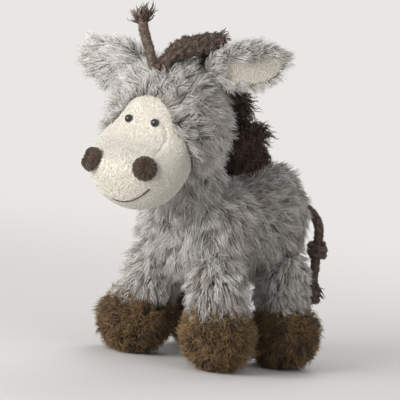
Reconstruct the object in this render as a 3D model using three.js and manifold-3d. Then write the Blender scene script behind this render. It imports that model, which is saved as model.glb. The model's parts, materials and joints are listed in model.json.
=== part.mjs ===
// A plush toy donkey that stands on four shaggy hooves. It faces -Y, its left side is +X and +Z is up.
// Sizes are in millimetres and angles in degrees. The size of a plush piece takes in most of its pile.
import * as THREE from 'three';
import { ParametricGeometry } from 'three/addons/geometries/ParametricGeometry.js';
import { mergeVertices } from 'three/addons/utils/BufferGeometryUtils.js';
import Module from 'manifold-3d';

const wasm = await Module();
wasm.setup();

// Cloth, seams and facets
const PLUSH_WALL = 8;
const HOOF_WALL = 6;
const FACE_WALL = 2.5;
const SEAM_GAP = 0.35;
const FILL_GAP = 0.7;
const SOLE_FLAT = 0.5;
const BODY_SIDES = 16;
const BODY_RINGS = 11;
const HEAD_SIDES = 24;
const FACE_RINGS = 13;
const LIMB_SIDES = 10;
const HOOF_SIDES = 12;
const CORD_SIDES = 8;
const THREAD_SIDES = 5;
const SOCKET_DETAIL = 2;
const FACET_MARGIN = 1.1;
const ARC_STEP_ANGLE = 18;
const SEARCH_STEPS = 40;
const SMALL_STEP = 1e-3;

// Body, from the breast to the rump, with the heights of its middle line above the floor
const BREAST_Y = -70;
const CHEST_Y = -36;
const WAIST_Y = 6;
const HAUNCH_Y = 53;
const RUMP_Y = 82;
const BODY_Z = 106;
const HAUNCH_Z = 111;
const CHEST_WIDTH = 90;
const CHEST_HEIGHT = 80;
const WAIST_WIDTH = 82;
const WAIST_HEIGHT = 76;
const HAUNCH_WIDTH = 84;
const HAUNCH_HEIGHT = 98;

// Neck: a short stump with a round end, which the head turns on
const NECK_RADIUS = 30;
const NECK_Y = -54;
const NECK_Z = 147;
const NECK_ROOT_Y = -34;
const NECK_ROOT_Z = 108;

// Head ball, from the middle of the neck's round end, turned a little to the left
const HEAD_FORWARD = 26;
const HEAD_RISE = 40;
const HEAD_WIDTH = 90;
const HEAD_DEPTH = 84;
const HEAD_HEIGHT = 90;
const HEAD_TURN_ANGLE = 13;

// Face: heights from the middle of the head ball, and how deep each ring's middle lies behind its front
const FACE_SINK = 9;
const FACE_TOP_Z = 20;
const FOREHEAD_Z = 12;
const FOREHEAD_WIDTH = 34;
const FOREHEAD_DEPTH = 15;
const BROW_Z = 0;
const BROW_WIDTH = 50;
const BROW_DEPTH = 23;
const BRIDGE_SINK = 6;
const BRIDGE_Z = -15;
const BRIDGE_WIDTH = 71;
const BRIDGE_DEPTH = 36;
const MUZZLE_SINK = 1;
const MUZZLE_Z = -33;
const MUZZLE_WIDTH = 80;
const MUZZLE_DEPTH = 74;
const CHIN_Z = -54;
const CHIN_WIDTH = 58;
const CHIN_DEPTH = 54;
const FACE_BOTTOM_Z = -67;

// Eyes, nostrils and mouth
const EYE_SPACING = 22;
const EYE_Z = 0;
const EYE_RADIUS = 3.2;
const EYE_STEM_RADIUS = 1.2;
const EYE_STEM_LENGTH = 7;
const WASHER_RADIUS = 5;
const WASHER_THICKNESS = 1.2;
const WASHER_GAP = 0.9;
const NOSTRIL_SPACING = 44;
const NOSTRIL_Z = -32;
const NOSTRIL_RADIUS = 9.5;
const NOSTRIL_DOME = 6;
const MOUTH_LEFT = 24;
const MOUTH_RIGHT = 7;
const MOUTH_Z = -60;
const MOUTH_RISE = 13;
const MOUTH_THREAD = 1.2;
const MOUTH_STITCHES = 8;

// Ears, each hinged on its seam at the root
const EAR_LENGTH = 68;
const EAR_WIDTH = 42;
const EAR_ROOT_WIDTH = 16;
const EAR_THICKNESS = 10;
const EAR_CUP = 7;
const EAR_LINING_WALL = 2;
const EAR_LINING_GAP = 0.6;
const EAR_SIDES = 14;
const EAR_RINGS = 8;
const EAR_LINING_WIDTH = 30;
const EAR_LINING_LENGTH = 50;
const EAR_LINING_START = 9;
const EAR_ROOT_ROUND = 5;
const EAR_LIFT = 4.3;
const EAR_SEAT_X = 24;
const EAR_SEAT_Z = 36;
const EAR_TIP_ANGLE = 28;
const EAR_SWEEP_ANGLE = 14;
const EAR_LEFT_RISE_ANGLE = 17;
const EAR_RIGHT_RISE_ANGLE = -6;

// Legs and hooves
const HIP_SPREAD = 60;
const HIP_Z = 72;
const SHOULDER_Y = -36;
const HIP_Y = 46;
const HIP_BALL_RADIUS = 25;
const LEG_RADIUS = 21.5;
const ANKLE_RADIUS = 20;
const HOOF_WIDTH = 53;
const HOOF_LENGTH = 56;
const HOOF_HEIGHT = 54;
const HOOF_SEAM_Z = 38;
const FRONT_FOOT_X = 40;
const HIND_FOOT_X = 43;
const FRONT_LEFT_FOOT_Y = -38;
const FRONT_RIGHT_FOOT_Y = -44;
const HIND_LEFT_FOOT_Y = 38;
const HIND_RIGHT_FOOT_Y = 42;

// Mane tufts: on the head by their angle back from the crown, on the neck by their angle up from the level
const TUFT_ROOT_RADIUS = 6.5;
const TUFT_BELLY_RADIUS = 8;
const TUFT_TIP_RADIUS = 5;
const TUFT_LENGTH = 52;
const TUFT_LEAN_ANGLE = 26;
const CROWN_TUFTS = [{ seat: 50, aim: 62 }, { seat: 75, aim: 86 }];
const NECK_TUFTS = [{ seat: 40, aim: 17 }, { seat: 19, aim: 7 }];

// Forelock cords: the root's place on the head, aside and back from its front, and the route from there
const FORELOCK_DIAMETER = 7;
const FORELOCK_UPRIGHT = {
  aside: -5, back: 19,
  route: [[0, 0, 0], [-1, -5, 8], [-5, -6, 18], [-10, -5, 27], [-15, -3, 39]],
};
const FORELOCK_LYING = {
  aside: 3, back: 23,
  route: [[0, 0, 0], [1, -3, 6], [6, 0, 12], [13, 6, 17], [21, 13, 21], [31, 21, 24]],
};
const FORELOCK_SHORT = {
  aside: 1, back: 35,
  route: [[0, 0, 0], [0, -1, 8], [4, 5, 14], [10, 12, 15], [16, 18, 11], [20, 22, 4]],
};

// Tail cord with its two knots, hung from the top of the rump: its route goes down to the first knot
const TAIL_DIAMETER = 7;
const TAIL_ROOT_Z = 122;
const TAIL_ROUTE = [[0, 0, 0], [0, 6, 0], [5, 13, -2], [12, 18, -8], [16, 20, -17], [17, 20, -26]];
const TAIL_KNOT_RADIUS = 8;
const TAIL_KNOT_HEIGHT = 16;
const TAIL_LOWER_LENGTH = 18;
const TAIL_END_KNOT_RADIUS = 7;
const TAIL_END_KNOT_HEIGHT = 18;
const KNOT_CROWN_ANGLE = 60;

// Squeaker, a blown disc in a pocket of the filling, open to the belly
const SQUEAKER_RADIUS = 19;
const SQUEAKER_HEIGHT = 18;
const SQUEAKER_WALL = 1.4;
const REED_PLUG_RADIUS = 5;
const REED_PLUG_LENGTH = 9;
const REED_BORE_RADIUS = 2.6;
const REED_FLANGE = 1.8;
const REED_THICKNESS = 0.6;

// Finishes
const GREY_PLUSH = { color: 0x918d88, roughness: 0.95, metalness: 0 };
const BROWN_PLUSH = { color: 0x4c3b2c, roughness: 0.95, metalness: 0 };
const CREAM_TERRY = { color: 0xe6dfd0, roughness: 0.9, metalness: 0 };
const EAR_TERRY = { color: 0xb8b0a3, roughness: 0.95, metalness: 0 };
const BROWN_FELT = { color: 0x4a392b, roughness: 0.85, metalness: 0 };
const BROWN_CORD = { color: 0x55463b, roughness: 0.95, metalness: 0 };
const MANE_YARN = { color: 0x3a2e27, roughness: 0.95, metalness: 0 };
const BLACK_BEAD = { color: 0x121110, roughness: 0.12, metalness: 0 };
const MOUTH_YARN = { color: 0x2d2622, roughness: 0.8, metalness: 0 };
const FIBRE_FILL = { color: 0xf0efe9, roughness: 1, metalness: 0 };
const CLEAR_PLASTIC = { color: 0xdedfd8, roughness: 0.35, metalness: 0 };
const WHITE_PLASTIC = { color: 0xeeeeee, roughness: 0.4, metalness: 0 };

const vec = (x, y, z) => new THREE.Vector3(x, y, z);
const radians = THREE.MathUtils.degToRad;
const degrees = THREE.MathUtils.radToDeg;
const UP = vec(0, 0, 1);
const REACH = 4 * (RUMP_Y - BREAST_Y);

// Welds a geometry into one closed surface, drops triangles with no area and turns its faces outwards.
function closed(geometry) {
  const bare = new THREE.BufferGeometry();
  bare.setAttribute('position', geometry.getAttribute('position'));
  bare.setIndex(geometry.index);
  const welded = mergeVertices(bare, 1e-3);
  const index = welded.index.array;
  const at = welded.getAttribute('position');
  const kept = [];
  const corners = [vec(), vec(), vec()];
  let volume = 0;
  for (let i = 0; i < index.length; i += 3) {
    const [a, b, c] = index.slice(i, i + 3);
    if (a !== b && b !== c && c !== a) {
      kept.push(a, b, c);
      corners.forEach((corner, k) => corner.fromBufferAttribute(at, [a, b, c][k]));
      volume += corners[0].dot(corners[1].cross(corners[2]));
    }
  }
  welded.setIndex(volume < 0 ? kept.reverse() : kept);
  return welded;
}

function toSolid(geometry) {
  const welded = closed(geometry);
  const vertProperties = new Float32Array(welded.getAttribute('position').array);
  const triVerts = new Uint32Array(welded.index.array);
  return new wasm.Manifold(new wasm.Mesh({ numProp: 3, vertProperties, triVerts }));
}

function toGeometry(solid) {
  const mesh = solid.getMesh();
  const geometry = new THREE.BufferGeometry();
  geometry.setAttribute('position', new THREE.BufferAttribute(new Float32Array(mesh.vertProperties), 3));
  geometry.setIndex(new THREE.BufferAttribute(new Uint32Array(mesh.triVerts), 1));
  geometry.computeVertexNormals();
  return geometry;
}

function addPiece(group, name, shape, finish) {
  const geometry = shape.isBufferGeometry ? closed(shape) : toGeometry(shape);
  const mesh = new THREE.Mesh(geometry, new THREE.MeshStandardMaterial(finish));
  mesh.name = name;
  group.add(mesh);
  return mesh;
}

// A stuffed form: level rings round a spine, closed at both ends. Each station has the middle of its ring
// and the ring's half sizes along two directions. Their squares are blended, which rounds the ends.
function stuffedForm(stations, across, along) {
  const spine = new THREE.CatmullRomCurve3(stations.map((s) => s.middle), false, 'catmullrom');
  const squares = stations.map((s) => vec(s.across ** 2, s.along ** 2, 0));
  const girth = new THREE.CatmullRomCurve3(squares, false, 'catmullrom');
  return (turn, t, target) => {
    const square = girth.getPoint(t);
    spine.getPoint(t, target);
    target.addScaledVector(across, Math.sqrt(Math.max(square.x, 0)) * Math.cos(turn));
    return target.addScaledVector(along, Math.sqrt(Math.max(square.y, 0)) * Math.sin(turn));
  };
}

function formSolid(form, sides, rings) {
  const ease = (v) => (1 - Math.cos(Math.PI * v)) / 2;
  const point = (u, v, target) => form(2 * Math.PI * u, ease(v), target);
  return toSolid(new ParametricGeometry(point, sides, rings));
}

function ballSolid(width, depth, height, middle, sides) {
  const ball = new THREE.SphereGeometry(1, sides, sides / 2);
  ball.rotateX(Math.PI / 2);
  ball.scale(width / 2, depth / 2, height / 2);
  ball.translate(middle.x, middle.y, middle.z);
  return toSolid(ball);
}

// A round socket whose flat facets all stay clear of a ball of this radius.
function socketSolid(radius, middle) {
  const edgeAngle = Math.atan(2) / (SOCKET_DETAIL + 1);
  const facetInset = Math.cos((FACET_MARGIN * edgeAngle) / Math.sqrt(3));
  const socket = new THREE.IcosahedronGeometry((radius + SEAM_GAP) / facetInset, SOCKET_DETAIL);
  socket.translate(middle.x, middle.y, middle.z);
  return toSolid(socket);
}

// Everything above or below a height, as a block.
function halfSpace(z, above) {
  const block = new THREE.BoxGeometry(REACH, REACH, REACH);
  block.translate(0, 0, z + (above ? REACH / 2 : -REACH / 2));
  return toSolid(block);
}

// A turned piece: a profile of [radius, height] points, with its axis along a direction from a point.
function turnedGeometry(profile, sides, from, direction) {
  const geometry = new THREE.LatheGeometry(profile.map(([r, h]) => new THREE.Vector2(r, h)), sides);
  geometry.applyQuaternion(new THREE.Quaternion().setFromUnitVectors(vec(0, 1, 0), direction));
  geometry.translate(from.x, from.y, from.z);
  return geometry;
}

// The points of an arc in a turned profile, in degrees from the level.
function arcPoints(radiusAcross, radiusUp, start, end, height = 0) {
  const points = [];
  const steps = Math.ceil(Math.abs(end - start) / ARC_STEP_ANGLE);
  for (let i = 0; i <= steps; i += 1) {
    const angle = radians(start + ((end - start) * i) / steps);
    points.push([Math.max(radiusAcross * Math.cos(angle), 0), height + radiusUp * Math.sin(angle)]);
  }
  return points;
}

function cordGeometry(points, diameter, sides, steps) {
  const path = new THREE.CatmullRomCurve3(points.map(([x, y, z]) => vec(x, y, z)));
  const corners = [];
  for (let i = 0; i < sides; i += 1) {
    const angle = (2 * Math.PI * i) / sides;
    corners.push(new THREE.Vector2((diameter / 2) * Math.cos(angle), (diameter / 2) * Math.sin(angle)));
  }
  return new THREE.ExtrudeGeometry(new THREE.Shape(corners), { steps, extrudePath: path });
}

const cordSteps = (points) => 2 * (points.length - 1);

// The share along a form, between two limits, up to which a test holds.
function shareWhile(test, low, high) {
  for (let i = 0; i < SEARCH_STEPS; i += 1) {
    const share = (low + high) / 2;
    if (test(share)) low = share;
    else high = share;
  }
  return low;
}

const donkey = new THREE.Group();
const body = new THREE.Group();
const cords = new THREE.Group();
donkey.add(body, cords);

// Body and neck
function trunkForm(inset) {
  const station = (y, z, width, height) => ({
    middle: vec(0, y, z),
    across: width ? width / 2 - inset : 0,
    along: height ? height / 2 - inset : 0,
  });
  return stuffedForm([
    station(BREAST_Y + inset, BODY_Z, 0, 0),
    station(CHEST_Y, BODY_Z, CHEST_WIDTH, CHEST_HEIGHT),
    station(WAIST_Y, BODY_Z, WAIST_WIDTH, WAIST_HEIGHT),
    station(HAUNCH_Y, HAUNCH_Z, HAUNCH_WIDTH, HAUNCH_HEIGHT),
    station(RUMP_Y - inset, HAUNCH_Z, 0, 0),
  ], vec(1, 0, 0), UP);
}
// The haunch is the fourth of the five stations.
const HAUNCH_SHARE = 3 / 4;

function bodySolid(inset) {
  const root = vec(0, NECK_ROOT_Y, NECK_ROOT_Z);
  const top = vec(0, NECK_Y, NECK_Z);
  const rise = root.distanceTo(top);
  const radius = NECK_RADIUS - inset;
  const profile = [[0, 0], ...arcPoints(radius, radius, 0, 90, rise)];
  profile.splice(1, 0, [radius, 0]);
  const neck = toSolid(turnedGeometry(profile, BODY_SIDES, root, top.clone().sub(root).normalize()));
  return formSolid(trunkForm(inset), BODY_SIDES, BODY_RINGS).add(neck);
}

const LEGS = [
  { name: 'front_left', side: 1, hipY: SHOULDER_Y, foot: { x: FRONT_FOOT_X, y: FRONT_LEFT_FOOT_Y } },
  { name: 'front_right', side: -1, hipY: SHOULDER_Y, foot: { x: -FRONT_FOOT_X, y: FRONT_RIGHT_FOOT_Y } },
  { name: 'hind_left', side: 1, hipY: HIP_Y, foot: { x: HIND_FOOT_X, y: HIND_LEFT_FOOT_Y } },
  { name: 'hind_right', side: -1, hipY: HIP_Y, foot: { x: -HIND_FOOT_X, y: HIND_RIGHT_FOOT_Y } },
];
const hipMiddle = (leg) => vec((leg.side * HIP_SPREAD) / 2, leg.hipY, HIP_Z);
const squeakerZ = BODY_Z - WAIST_HEIGHT / 2 + PLUSH_WALL + 2 * SEAM_GAP;

let bodyCover = bodySolid(0).subtract(bodySolid(PLUSH_WALL));
let bodyFilling = bodySolid(PLUSH_WALL + FILL_GAP);
for (const leg of LEGS) {
  const socket = socketSolid(HIP_BALL_RADIUS, hipMiddle(leg));
  bodyCover = bodyCover.subtract(socket);
  bodyFilling = bodyFilling.subtract(socket);
}
const pocket = new THREE.CylinderGeometry(
  SQUEAKER_RADIUS + SEAM_GAP, SQUEAKER_RADIUS + SEAM_GAP, HIP_Z, BODY_SIDES);
pocket.rotateX(Math.PI / 2);
pocket.translate(0, WAIST_Y, squeakerZ + SQUEAKER_HEIGHT + REED_FLANGE + 2 * SEAM_GAP - HIP_Z / 2);
bodyFilling = bodyFilling.subtract(toSolid(pocket));
addPiece(body, 'body_cover', bodyCover, GREY_PLUSH);
addPiece(body, 'body_filling', bodyFilling, FIBRE_FILL);

// Squeaker: the bladder stands on the belly cloth, with the reed plug in its top
function squeakerPieces() {
  const half = SQUEAKER_HEIGHT / 2;
  const mouth = REED_PLUG_RADIUS + SEAM_GAP;
  const wall = (inset) => {
    const edge = Math.acos(mouth / (SQUEAKER_RADIUS - inset));
    return arcPoints(SQUEAKER_RADIUS - inset, half - inset, -90, degrees(edge), half);
  };
  const middle = vec(0, WAIST_Y, squeakerZ);
  const bladder = [...wall(SQUEAKER_WALL), ...wall(0).reverse()];
  addPiece(body, 'squeaker_bladder', turnedGeometry(bladder, BODY_SIDES, middle, UP), CLEAR_PLASTIC);
  const seat = wall(0).at(-1)[1] + SEAM_GAP;
  const flangeRadius = REED_PLUG_RADIUS + 2 * SQUEAKER_WALL;
  const plug = [
    [REED_BORE_RADIUS, seat - REED_PLUG_LENGTH],
    [REED_PLUG_RADIUS, seat - REED_PLUG_LENGTH],
    [REED_PLUG_RADIUS, seat],
    [flangeRadius, seat],
    [flangeRadius, seat + REED_FLANGE],
    [REED_BORE_RADIUS, seat + REED_FLANGE],
    [REED_BORE_RADIUS, seat - REED_PLUG_LENGTH],
  ];
  addPiece(body, 'squeaker_plug', turnedGeometry(plug, LIMB_SIDES, middle, UP), WHITE_PLASTIC);
  const width = Math.SQRT2 * REED_BORE_RADIUS;
  const reed = new THREE.BoxGeometry(width, REED_THICKNESS, REED_PLUG_LENGTH);
  reed.translate(0, WAIST_Y - width / 2 + REED_THICKNESS, squeakerZ + seat - REED_PLUG_LENGTH / 2);
  addPiece(body, 'squeaker_reed', reed, CLEAR_PLASTIC);
}
squeakerPieces();

// Legs: a sleeve with a ball top in the body's socket, a hoof cup sewn below it and one filling for both
function legProfile(inset) {
  const ball = HIP_BALL_RADIUS - inset;
  const limb = LEG_RADIUS - inset;
  const leave = degrees(Math.acos(limb / ball));
  const ankleDrop = HIP_Z - HOOF_SEAM_Z;
  return [
    ...arcPoints(ball, ball, 90, -leave),
    [(limb + ANKLE_RADIUS - inset) / 2, -ankleDrop / 2 - ball * Math.sin(radians(leave)) / 2],
    [ANKLE_RADIUS - inset, -ankleDrop],
    [ANKLE_RADIUS - inset, -ankleDrop - HOOF_WALL],
    [0, -ankleDrop - HOOF_WALL],
  ];
}

// The sleeve slants from the hip to the foot, and its ball stays round.
function legSolid(leg, inset) {
  const hip = hipMiddle(leg);
  const geometry = turnedGeometry(legProfile(inset), LIMB_SIDES, vec(0, 0, 0), UP);
  const at = geometry.getAttribute('position');
  for (let i = 0; i < at.count; i += 1) {
    const share = Math.max(-at.getZ(i), 0) / (HIP_Z - HOOF_SEAM_Z);
    const lean = Math.min(share, 1) ** 2;
    at.setX(i, at.getX(i) + lean * (leg.foot.x - hip.x));
    at.setY(i, at.getY(i) + lean * (leg.foot.y - hip.y));
  }
  return toSolid(geometry);
}

function hoofSolid(leg, inset) {
  const hip = hipMiddle(leg);
  const middle = vec(leg.foot.x - hip.x, leg.foot.y - hip.y, HOOF_HEIGHT / 2 - SOLE_FLAT - hip.z);
  const [width, length, height] = [HOOF_WIDTH, HOOF_LENGTH, HOOF_HEIGHT].map((size) => size - 2 * inset);
  return ballSolid(width, length, height, middle, HOOF_SIDES);
}

for (const leg of LEGS) {
  const group = new THREE.Group();
  group.position.copy(hipMiddle(leg));
  donkey.add(group);
  const seam = HOOF_SEAM_Z - HIP_Z;
  const belowSeam = halfSpace(seam + SEAM_GAP, false);
  const sleeve = legSolid(leg, 0).subtract(legSolid(leg, PLUSH_WALL)).subtract(belowSeam);
  const hoof = hoofSolid(leg, 0).subtract(hoofSolid(leg, HOOF_WALL)).subtract(halfSpace(seam, true));
  const hoofFill = hoofSolid(leg, HOOF_WALL + FILL_GAP).subtract(halfSpace(seam - FILL_GAP, true));
  const filling = legSolid(leg, PLUSH_WALL + FILL_GAP).add(hoofFill);
  addPiece(group, `leg_${leg.name}_cover`, sleeve, GREY_PLUSH);
  addPiece(group, `leg_${leg.name}_filling`, filling, FIBRE_FILL);
  addPiece(group, `hoof_${leg.name}_cover`, hoof.subtract(halfSpace(-HIP_Z, false)), BROWN_PLUSH);
}

// Head: a plush ball with the face in front and a socket for the neck
const head = new THREE.Group();
head.position.set(0, NECK_Y, NECK_Z);
head.rotation.z = radians(HEAD_TURN_ANGLE);
donkey.add(head);
const headMiddle = vec(0, -HEAD_FORWARD, HEAD_RISE).applyAxisAngle(UP, -radians(HEAD_TURN_ANGLE));

function headBall(inset) {
  const [width, depth, height] = [HEAD_WIDTH, HEAD_DEPTH, HEAD_HEIGHT].map((size) => size - 2 * inset);
  return ballSolid(width, depth, height, headMiddle, HEAD_SIDES);
}

// The point on the head ball, from its middle, in a direction, and the outward direction there.
function onHead(direction) {
  const size = vec(HEAD_WIDTH, HEAD_DEPTH, HEAD_HEIGHT).multiplyScalar(1 / 2);
  const point = direction.clone().divideScalar(direction.clone().divide(size).length());
  const outward = point.clone().divide(size).divide(size).normalize();
  return { point, outward };
}

function faceForm(inset) {
  const station = (sink, z, width, depth) => ({
    middle: vec(0, sink - HEAD_DEPTH / 2, z).add(headMiddle),
    across: width ? width / 2 - inset : 0,
    along: depth ? depth / 2 - inset : 0,
  });
  return stuffedForm([
    station(FACE_SINK, FACE_TOP_Z - inset, 0, 0),
    station(FACE_SINK, FOREHEAD_Z, FOREHEAD_WIDTH, FOREHEAD_DEPTH),
    station(FACE_SINK, BROW_Z, BROW_WIDTH, BROW_DEPTH),
    station(BRIDGE_SINK, BRIDGE_Z, BRIDGE_WIDTH, BRIDGE_DEPTH),
    station(MUZZLE_SINK, MUZZLE_Z, MUZZLE_WIDTH, MUZZLE_DEPTH),
    station(MUZZLE_SINK, CHIN_Z, CHIN_WIDTH, CHIN_DEPTH),
    station(MUZZLE_SINK, FACE_BOTTOM_Z + inset, 0, 0),
  ], vec(1, 0, 0), vec(0, -1, 0));
}
const faceSolid = (inset) => formSolid(faceForm(inset), BODY_SIDES, FACE_RINGS);

// The point and the outward direction on the front of the face, by its place from the head's middle.
function onFace(x, z) {
  const form = faceForm(0);
  const height = z + headMiddle.z;
  const probe = vec();
  const share = shareWhile((t) => form(0, t, probe).z > height, 0, 1);
  const half = form(0, share, probe).x - headMiddle.x;
  const turn = Math.acos(THREE.MathUtils.clamp(x / half, -1, 1));
  const point = form(turn, share, vec());
  const aside = form(turn + SMALL_STEP, share, vec()).sub(point);
  const down = form(turn, share + SMALL_STEP, vec()).sub(point);
  const outward = down.cross(aside).normalize();
  return { point, outward: outward.y > 0 ? outward.negate() : outward };
}

const neckSocket = socketSolid(NECK_RADIUS, vec(0, 0, 0));
const fillBall = headBall(PLUSH_WALL);
const headCover = headBall(0).subtract(fillBall).subtract(faceSolid(-SEAM_GAP)).subtract(neckSocket);
addPiece(head, 'head_cover', headCover, GREY_PLUSH);
addPiece(head, 'head_filling', headBall(PLUSH_WALL + FILL_GAP).subtract(neckSocket), FIBRE_FILL);

let faceCover = faceSolid(0).subtract(faceSolid(FACE_WALL)).subtract(fillBall).subtract(neckSocket);
let faceFilling = faceSolid(FACE_WALL + FILL_GAP).subtract(fillBall).subtract(neckSocket);

// Eyes: a bead whose stem goes through the face cloth and is held by a lock washer
for (const [name, side] of [['left', 1], ['right', -1]]) {
  const seat = onFace((side * EYE_SPACING) / 2, EYE_Z);
  const rod = (radius, from, to) => toSolid(turnedGeometry(
    [[0, from], [radius, from], [radius, to], [0, to]], LIMB_SIDES, seat.point, seat.outward));
  const washerTop = -FACE_WALL - WASHER_GAP;
  const washerBottom = washerTop - WASHER_THICKNESS;
  faceCover = faceCover.subtract(rod(EYE_STEM_RADIUS + SEAM_GAP, -EYE_STEM_LENGTH, EYE_RADIUS));
  const recess = rod(WASHER_RADIUS + SEAM_GAP, -EYE_STEM_LENGTH - 2 * SEAM_GAP, EYE_RADIUS);
  faceFilling = faceFilling.subtract(recess);
  const bead = [
    [0, SEAM_GAP - EYE_STEM_LENGTH],
    [EYE_STEM_RADIUS, SEAM_GAP - EYE_STEM_LENGTH],
    [EYE_STEM_RADIUS, SEAM_GAP],
    ...arcPoints(EYE_RADIUS, EYE_RADIUS, 0, 90, SEAM_GAP),
  ];
  addPiece(head, `eye_${name}`, turnedGeometry(bead, LIMB_SIDES, seat.point, seat.outward), BLACK_BEAD);
  const bore = EYE_STEM_RADIUS + SEAM_GAP;
  const washer = [
    [bore, washerBottom], [WASHER_RADIUS, washerBottom], [WASHER_RADIUS, washerTop], [bore, washerTop],
    [bore, washerBottom],
  ];
  const ring = turnedGeometry(washer, LIMB_SIDES, seat.point, seat.outward);
  addPiece(head, `eye_washer_${name}`, ring, WHITE_PLASTIC);
}
addPiece(head, 'face_cover', faceCover, CREAM_TERRY);
addPiece(head, 'face_filling', faceFilling, FIBRE_FILL);

// Nostrils: domed pads that sit on the round of the muzzle
for (const [name, side] of [['left', 1], ['right', -1]]) {
  const seat = onFace((side * NOSTRIL_SPACING) / 2, NOSTRIL_Z);
  const dome = arcPoints(NOSTRIL_RADIUS, NOSTRIL_DOME, -90, 90);
  const pad = toSolid(turnedGeometry(dome, LIMB_SIDES, seat.point, seat.outward));
  addPiece(head, `nostril_${name}`, pad.subtract(faceSolid(-SEAM_GAP)), BROWN_FELT);
}

// Mouth: one thread laid on the muzzle in half a smile, which rises to the left
const mouthPoints = [];
for (let i = 0; i <= MOUTH_STITCHES; i += 1) {
  const x = THREE.MathUtils.lerp(-MOUTH_RIGHT, MOUTH_LEFT, i / MOUTH_STITCHES);
  const seat = onFace(x, MOUTH_Z + MOUTH_RISE * (x / MOUTH_LEFT) ** 2);
  mouthPoints.push(seat.point.addScaledVector(seat.outward, MOUTH_THREAD / 2 + SEAM_GAP).toArray());
}
const mouthThread = cordGeometry(mouthPoints, MOUTH_THREAD, THREAD_SIDES, cordSteps(mouthPoints));
addPiece(head, 'mouth_thread', mouthThread, MOUTH_YARN);

// Ears: a cupped leaf of plush with a thinner leaf of lining on its hollow side
function earLeaf(side, start, length, rootHalf, half, hollow, back) {
  const spread = (t) => {
    const round = Math.sqrt(Math.max(1 - (2 * t - 1) ** 2, 0));
    return round * (half + (rootHalf - half) * (1 - t) ** 2);
  };
  const point = (u, v, target) => {
    const t = (1 - Math.cos(Math.PI * v)) / 2;
    const wide = spread(t) * Math.cos(2 * Math.PI * u);
    const rim = Math.sin(2 * Math.PI * u);
    const thick = (rim > 0 ? back : hollow) * rim * Math.sqrt(spread(t) / half);
    const cup = -EAR_CUP * (wide / (EAR_WIDTH / 2)) ** 2;
    return target.set(side * (start + t * length), thick + cup, wide);
  };
  return toSolid(new ParametricGeometry(point, EAR_SIDES, EAR_RINGS));
}

const ears = [
  { name: 'left', side: 1, rise: EAR_LEFT_RISE_ANGLE },
  { name: 'right', side: -1, rise: EAR_RIGHT_RISE_ANGLE },
];
for (const ear of ears) {
  const group = new THREE.Group();
  group.rotation.order = 'ZYX';
  const [tip, rise, sweep] = [EAR_TIP_ANGLE, ear.rise, EAR_SWEEP_ANGLE].map(radians);
  group.rotation.set(tip, -ear.side * rise, ear.side * sweep);
  const { point, outward } = onHead(vec(ear.side * EAR_SEAT_X, 0, EAR_SEAT_Z));
  group.position.copy(headMiddle).add(point).addScaledVector(outward, EAR_LIFT);
  head.add(group);
  const rootHalf = EAR_ROOT_WIDTH / 2;
  const liningHalf = EAR_LINING_WIDTH / 2;
  const leaf = earLeaf(ear.side, -EAR_ROOT_ROUND, EAR_LENGTH, rootHalf, EAR_WIDTH / 2, 0, EAR_THICKNESS);
  const lining = earLeaf(
    ear.side, EAR_LINING_START, EAR_LINING_LENGTH, liningHalf, liningHalf, EAR_LINING_WALL, 0);
  addPiece(group, `ear_${ear.name}_back`, leaf, GREY_PLUSH);
  const skin = addPiece(group, `ear_${ear.name}_lining`, lining, EAR_TERRY);
  skin.position.y = -EAR_LINING_GAP;
}

// Mane: soft tufts in a row, each rooted on the plush and leaning out to the left
function addTuft(group, name, surface, outward, aim) {
  const belly = TUFT_LENGTH / 2 - TUFT_ROOT_RADIUS;
  const tip = TUFT_LENGTH - TUFT_ROOT_RADIUS - TUFT_TIP_RADIUS;
  const profile = [
    ...arcPoints(TUFT_ROOT_RADIUS, TUFT_ROOT_RADIUS, -90, 0),
    [TUFT_BELLY_RADIUS, belly],
    ...arcPoints(TUFT_TIP_RADIUS, TUFT_TIP_RADIUS, 0, 90, tip),
  ];
  const seat = surface.clone().addScaledVector(outward, TUFT_ROOT_RADIUS + SEAM_GAP);
  const lean = vec(Math.tan(radians(TUFT_LEAN_ANGLE)), 0, 0);
  addPiece(group, name, turnedGeometry(profile, CORD_SIDES, seat, lean.add(aim).normalize()), MANE_YARN);
}
const backward = (angle) => vec(0, Math.cos(radians(angle)), Math.sin(radians(angle)));

CROWN_TUFTS.forEach(({ seat, aim }, i) => {
  const { point, outward } = onHead(backward(90 - seat));
  addTuft(head, `mane_tuft_crown_${i + 1}`, point.add(headMiddle), outward, backward(90 - aim));
});
NECK_TUFTS.forEach(({ seat, aim }, i) => {
  const outward = backward(seat);
  const surface = vec(0, NECK_Y, NECK_Z).addScaledVector(outward, NECK_RADIUS);
  addTuft(body, `mane_tuft_neck_${i + 1}`, surface, outward, backward(aim));
});

// Forelock: three felted cords sewn to the forehead
const forelock = { upright: FORELOCK_UPRIGHT, lying: FORELOCK_LYING, short: FORELOCK_SHORT };
const forelockGroup = new THREE.Group();
forelockGroup.position.copy(head.position);
forelockGroup.rotation.copy(head.rotation);
cords.add(forelockGroup);
for (const [name, cord] of Object.entries(forelock)) {
  const rootY = cord.back - HEAD_DEPTH / 2;
  const level = Math.hypot((2 * cord.aside) / HEAD_WIDTH, (2 * rootY) / HEAD_DEPTH);
  const rootZ = (HEAD_HEIGHT / 2) * Math.sqrt(1 - level ** 2);
  const { point, outward } = onHead(vec(cord.aside, rootY, rootZ));
  const shape = cordGeometry(cord.route, FORELOCK_DIAMETER, CORD_SIDES, cordSteps(cord.route));
  const piece = addPiece(forelockGroup, `forelock_${name}`, shape, BROWN_CORD);
  piece.position.copy(headMiddle).add(point).addScaledVector(outward, SEAM_GAP);
}

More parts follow.
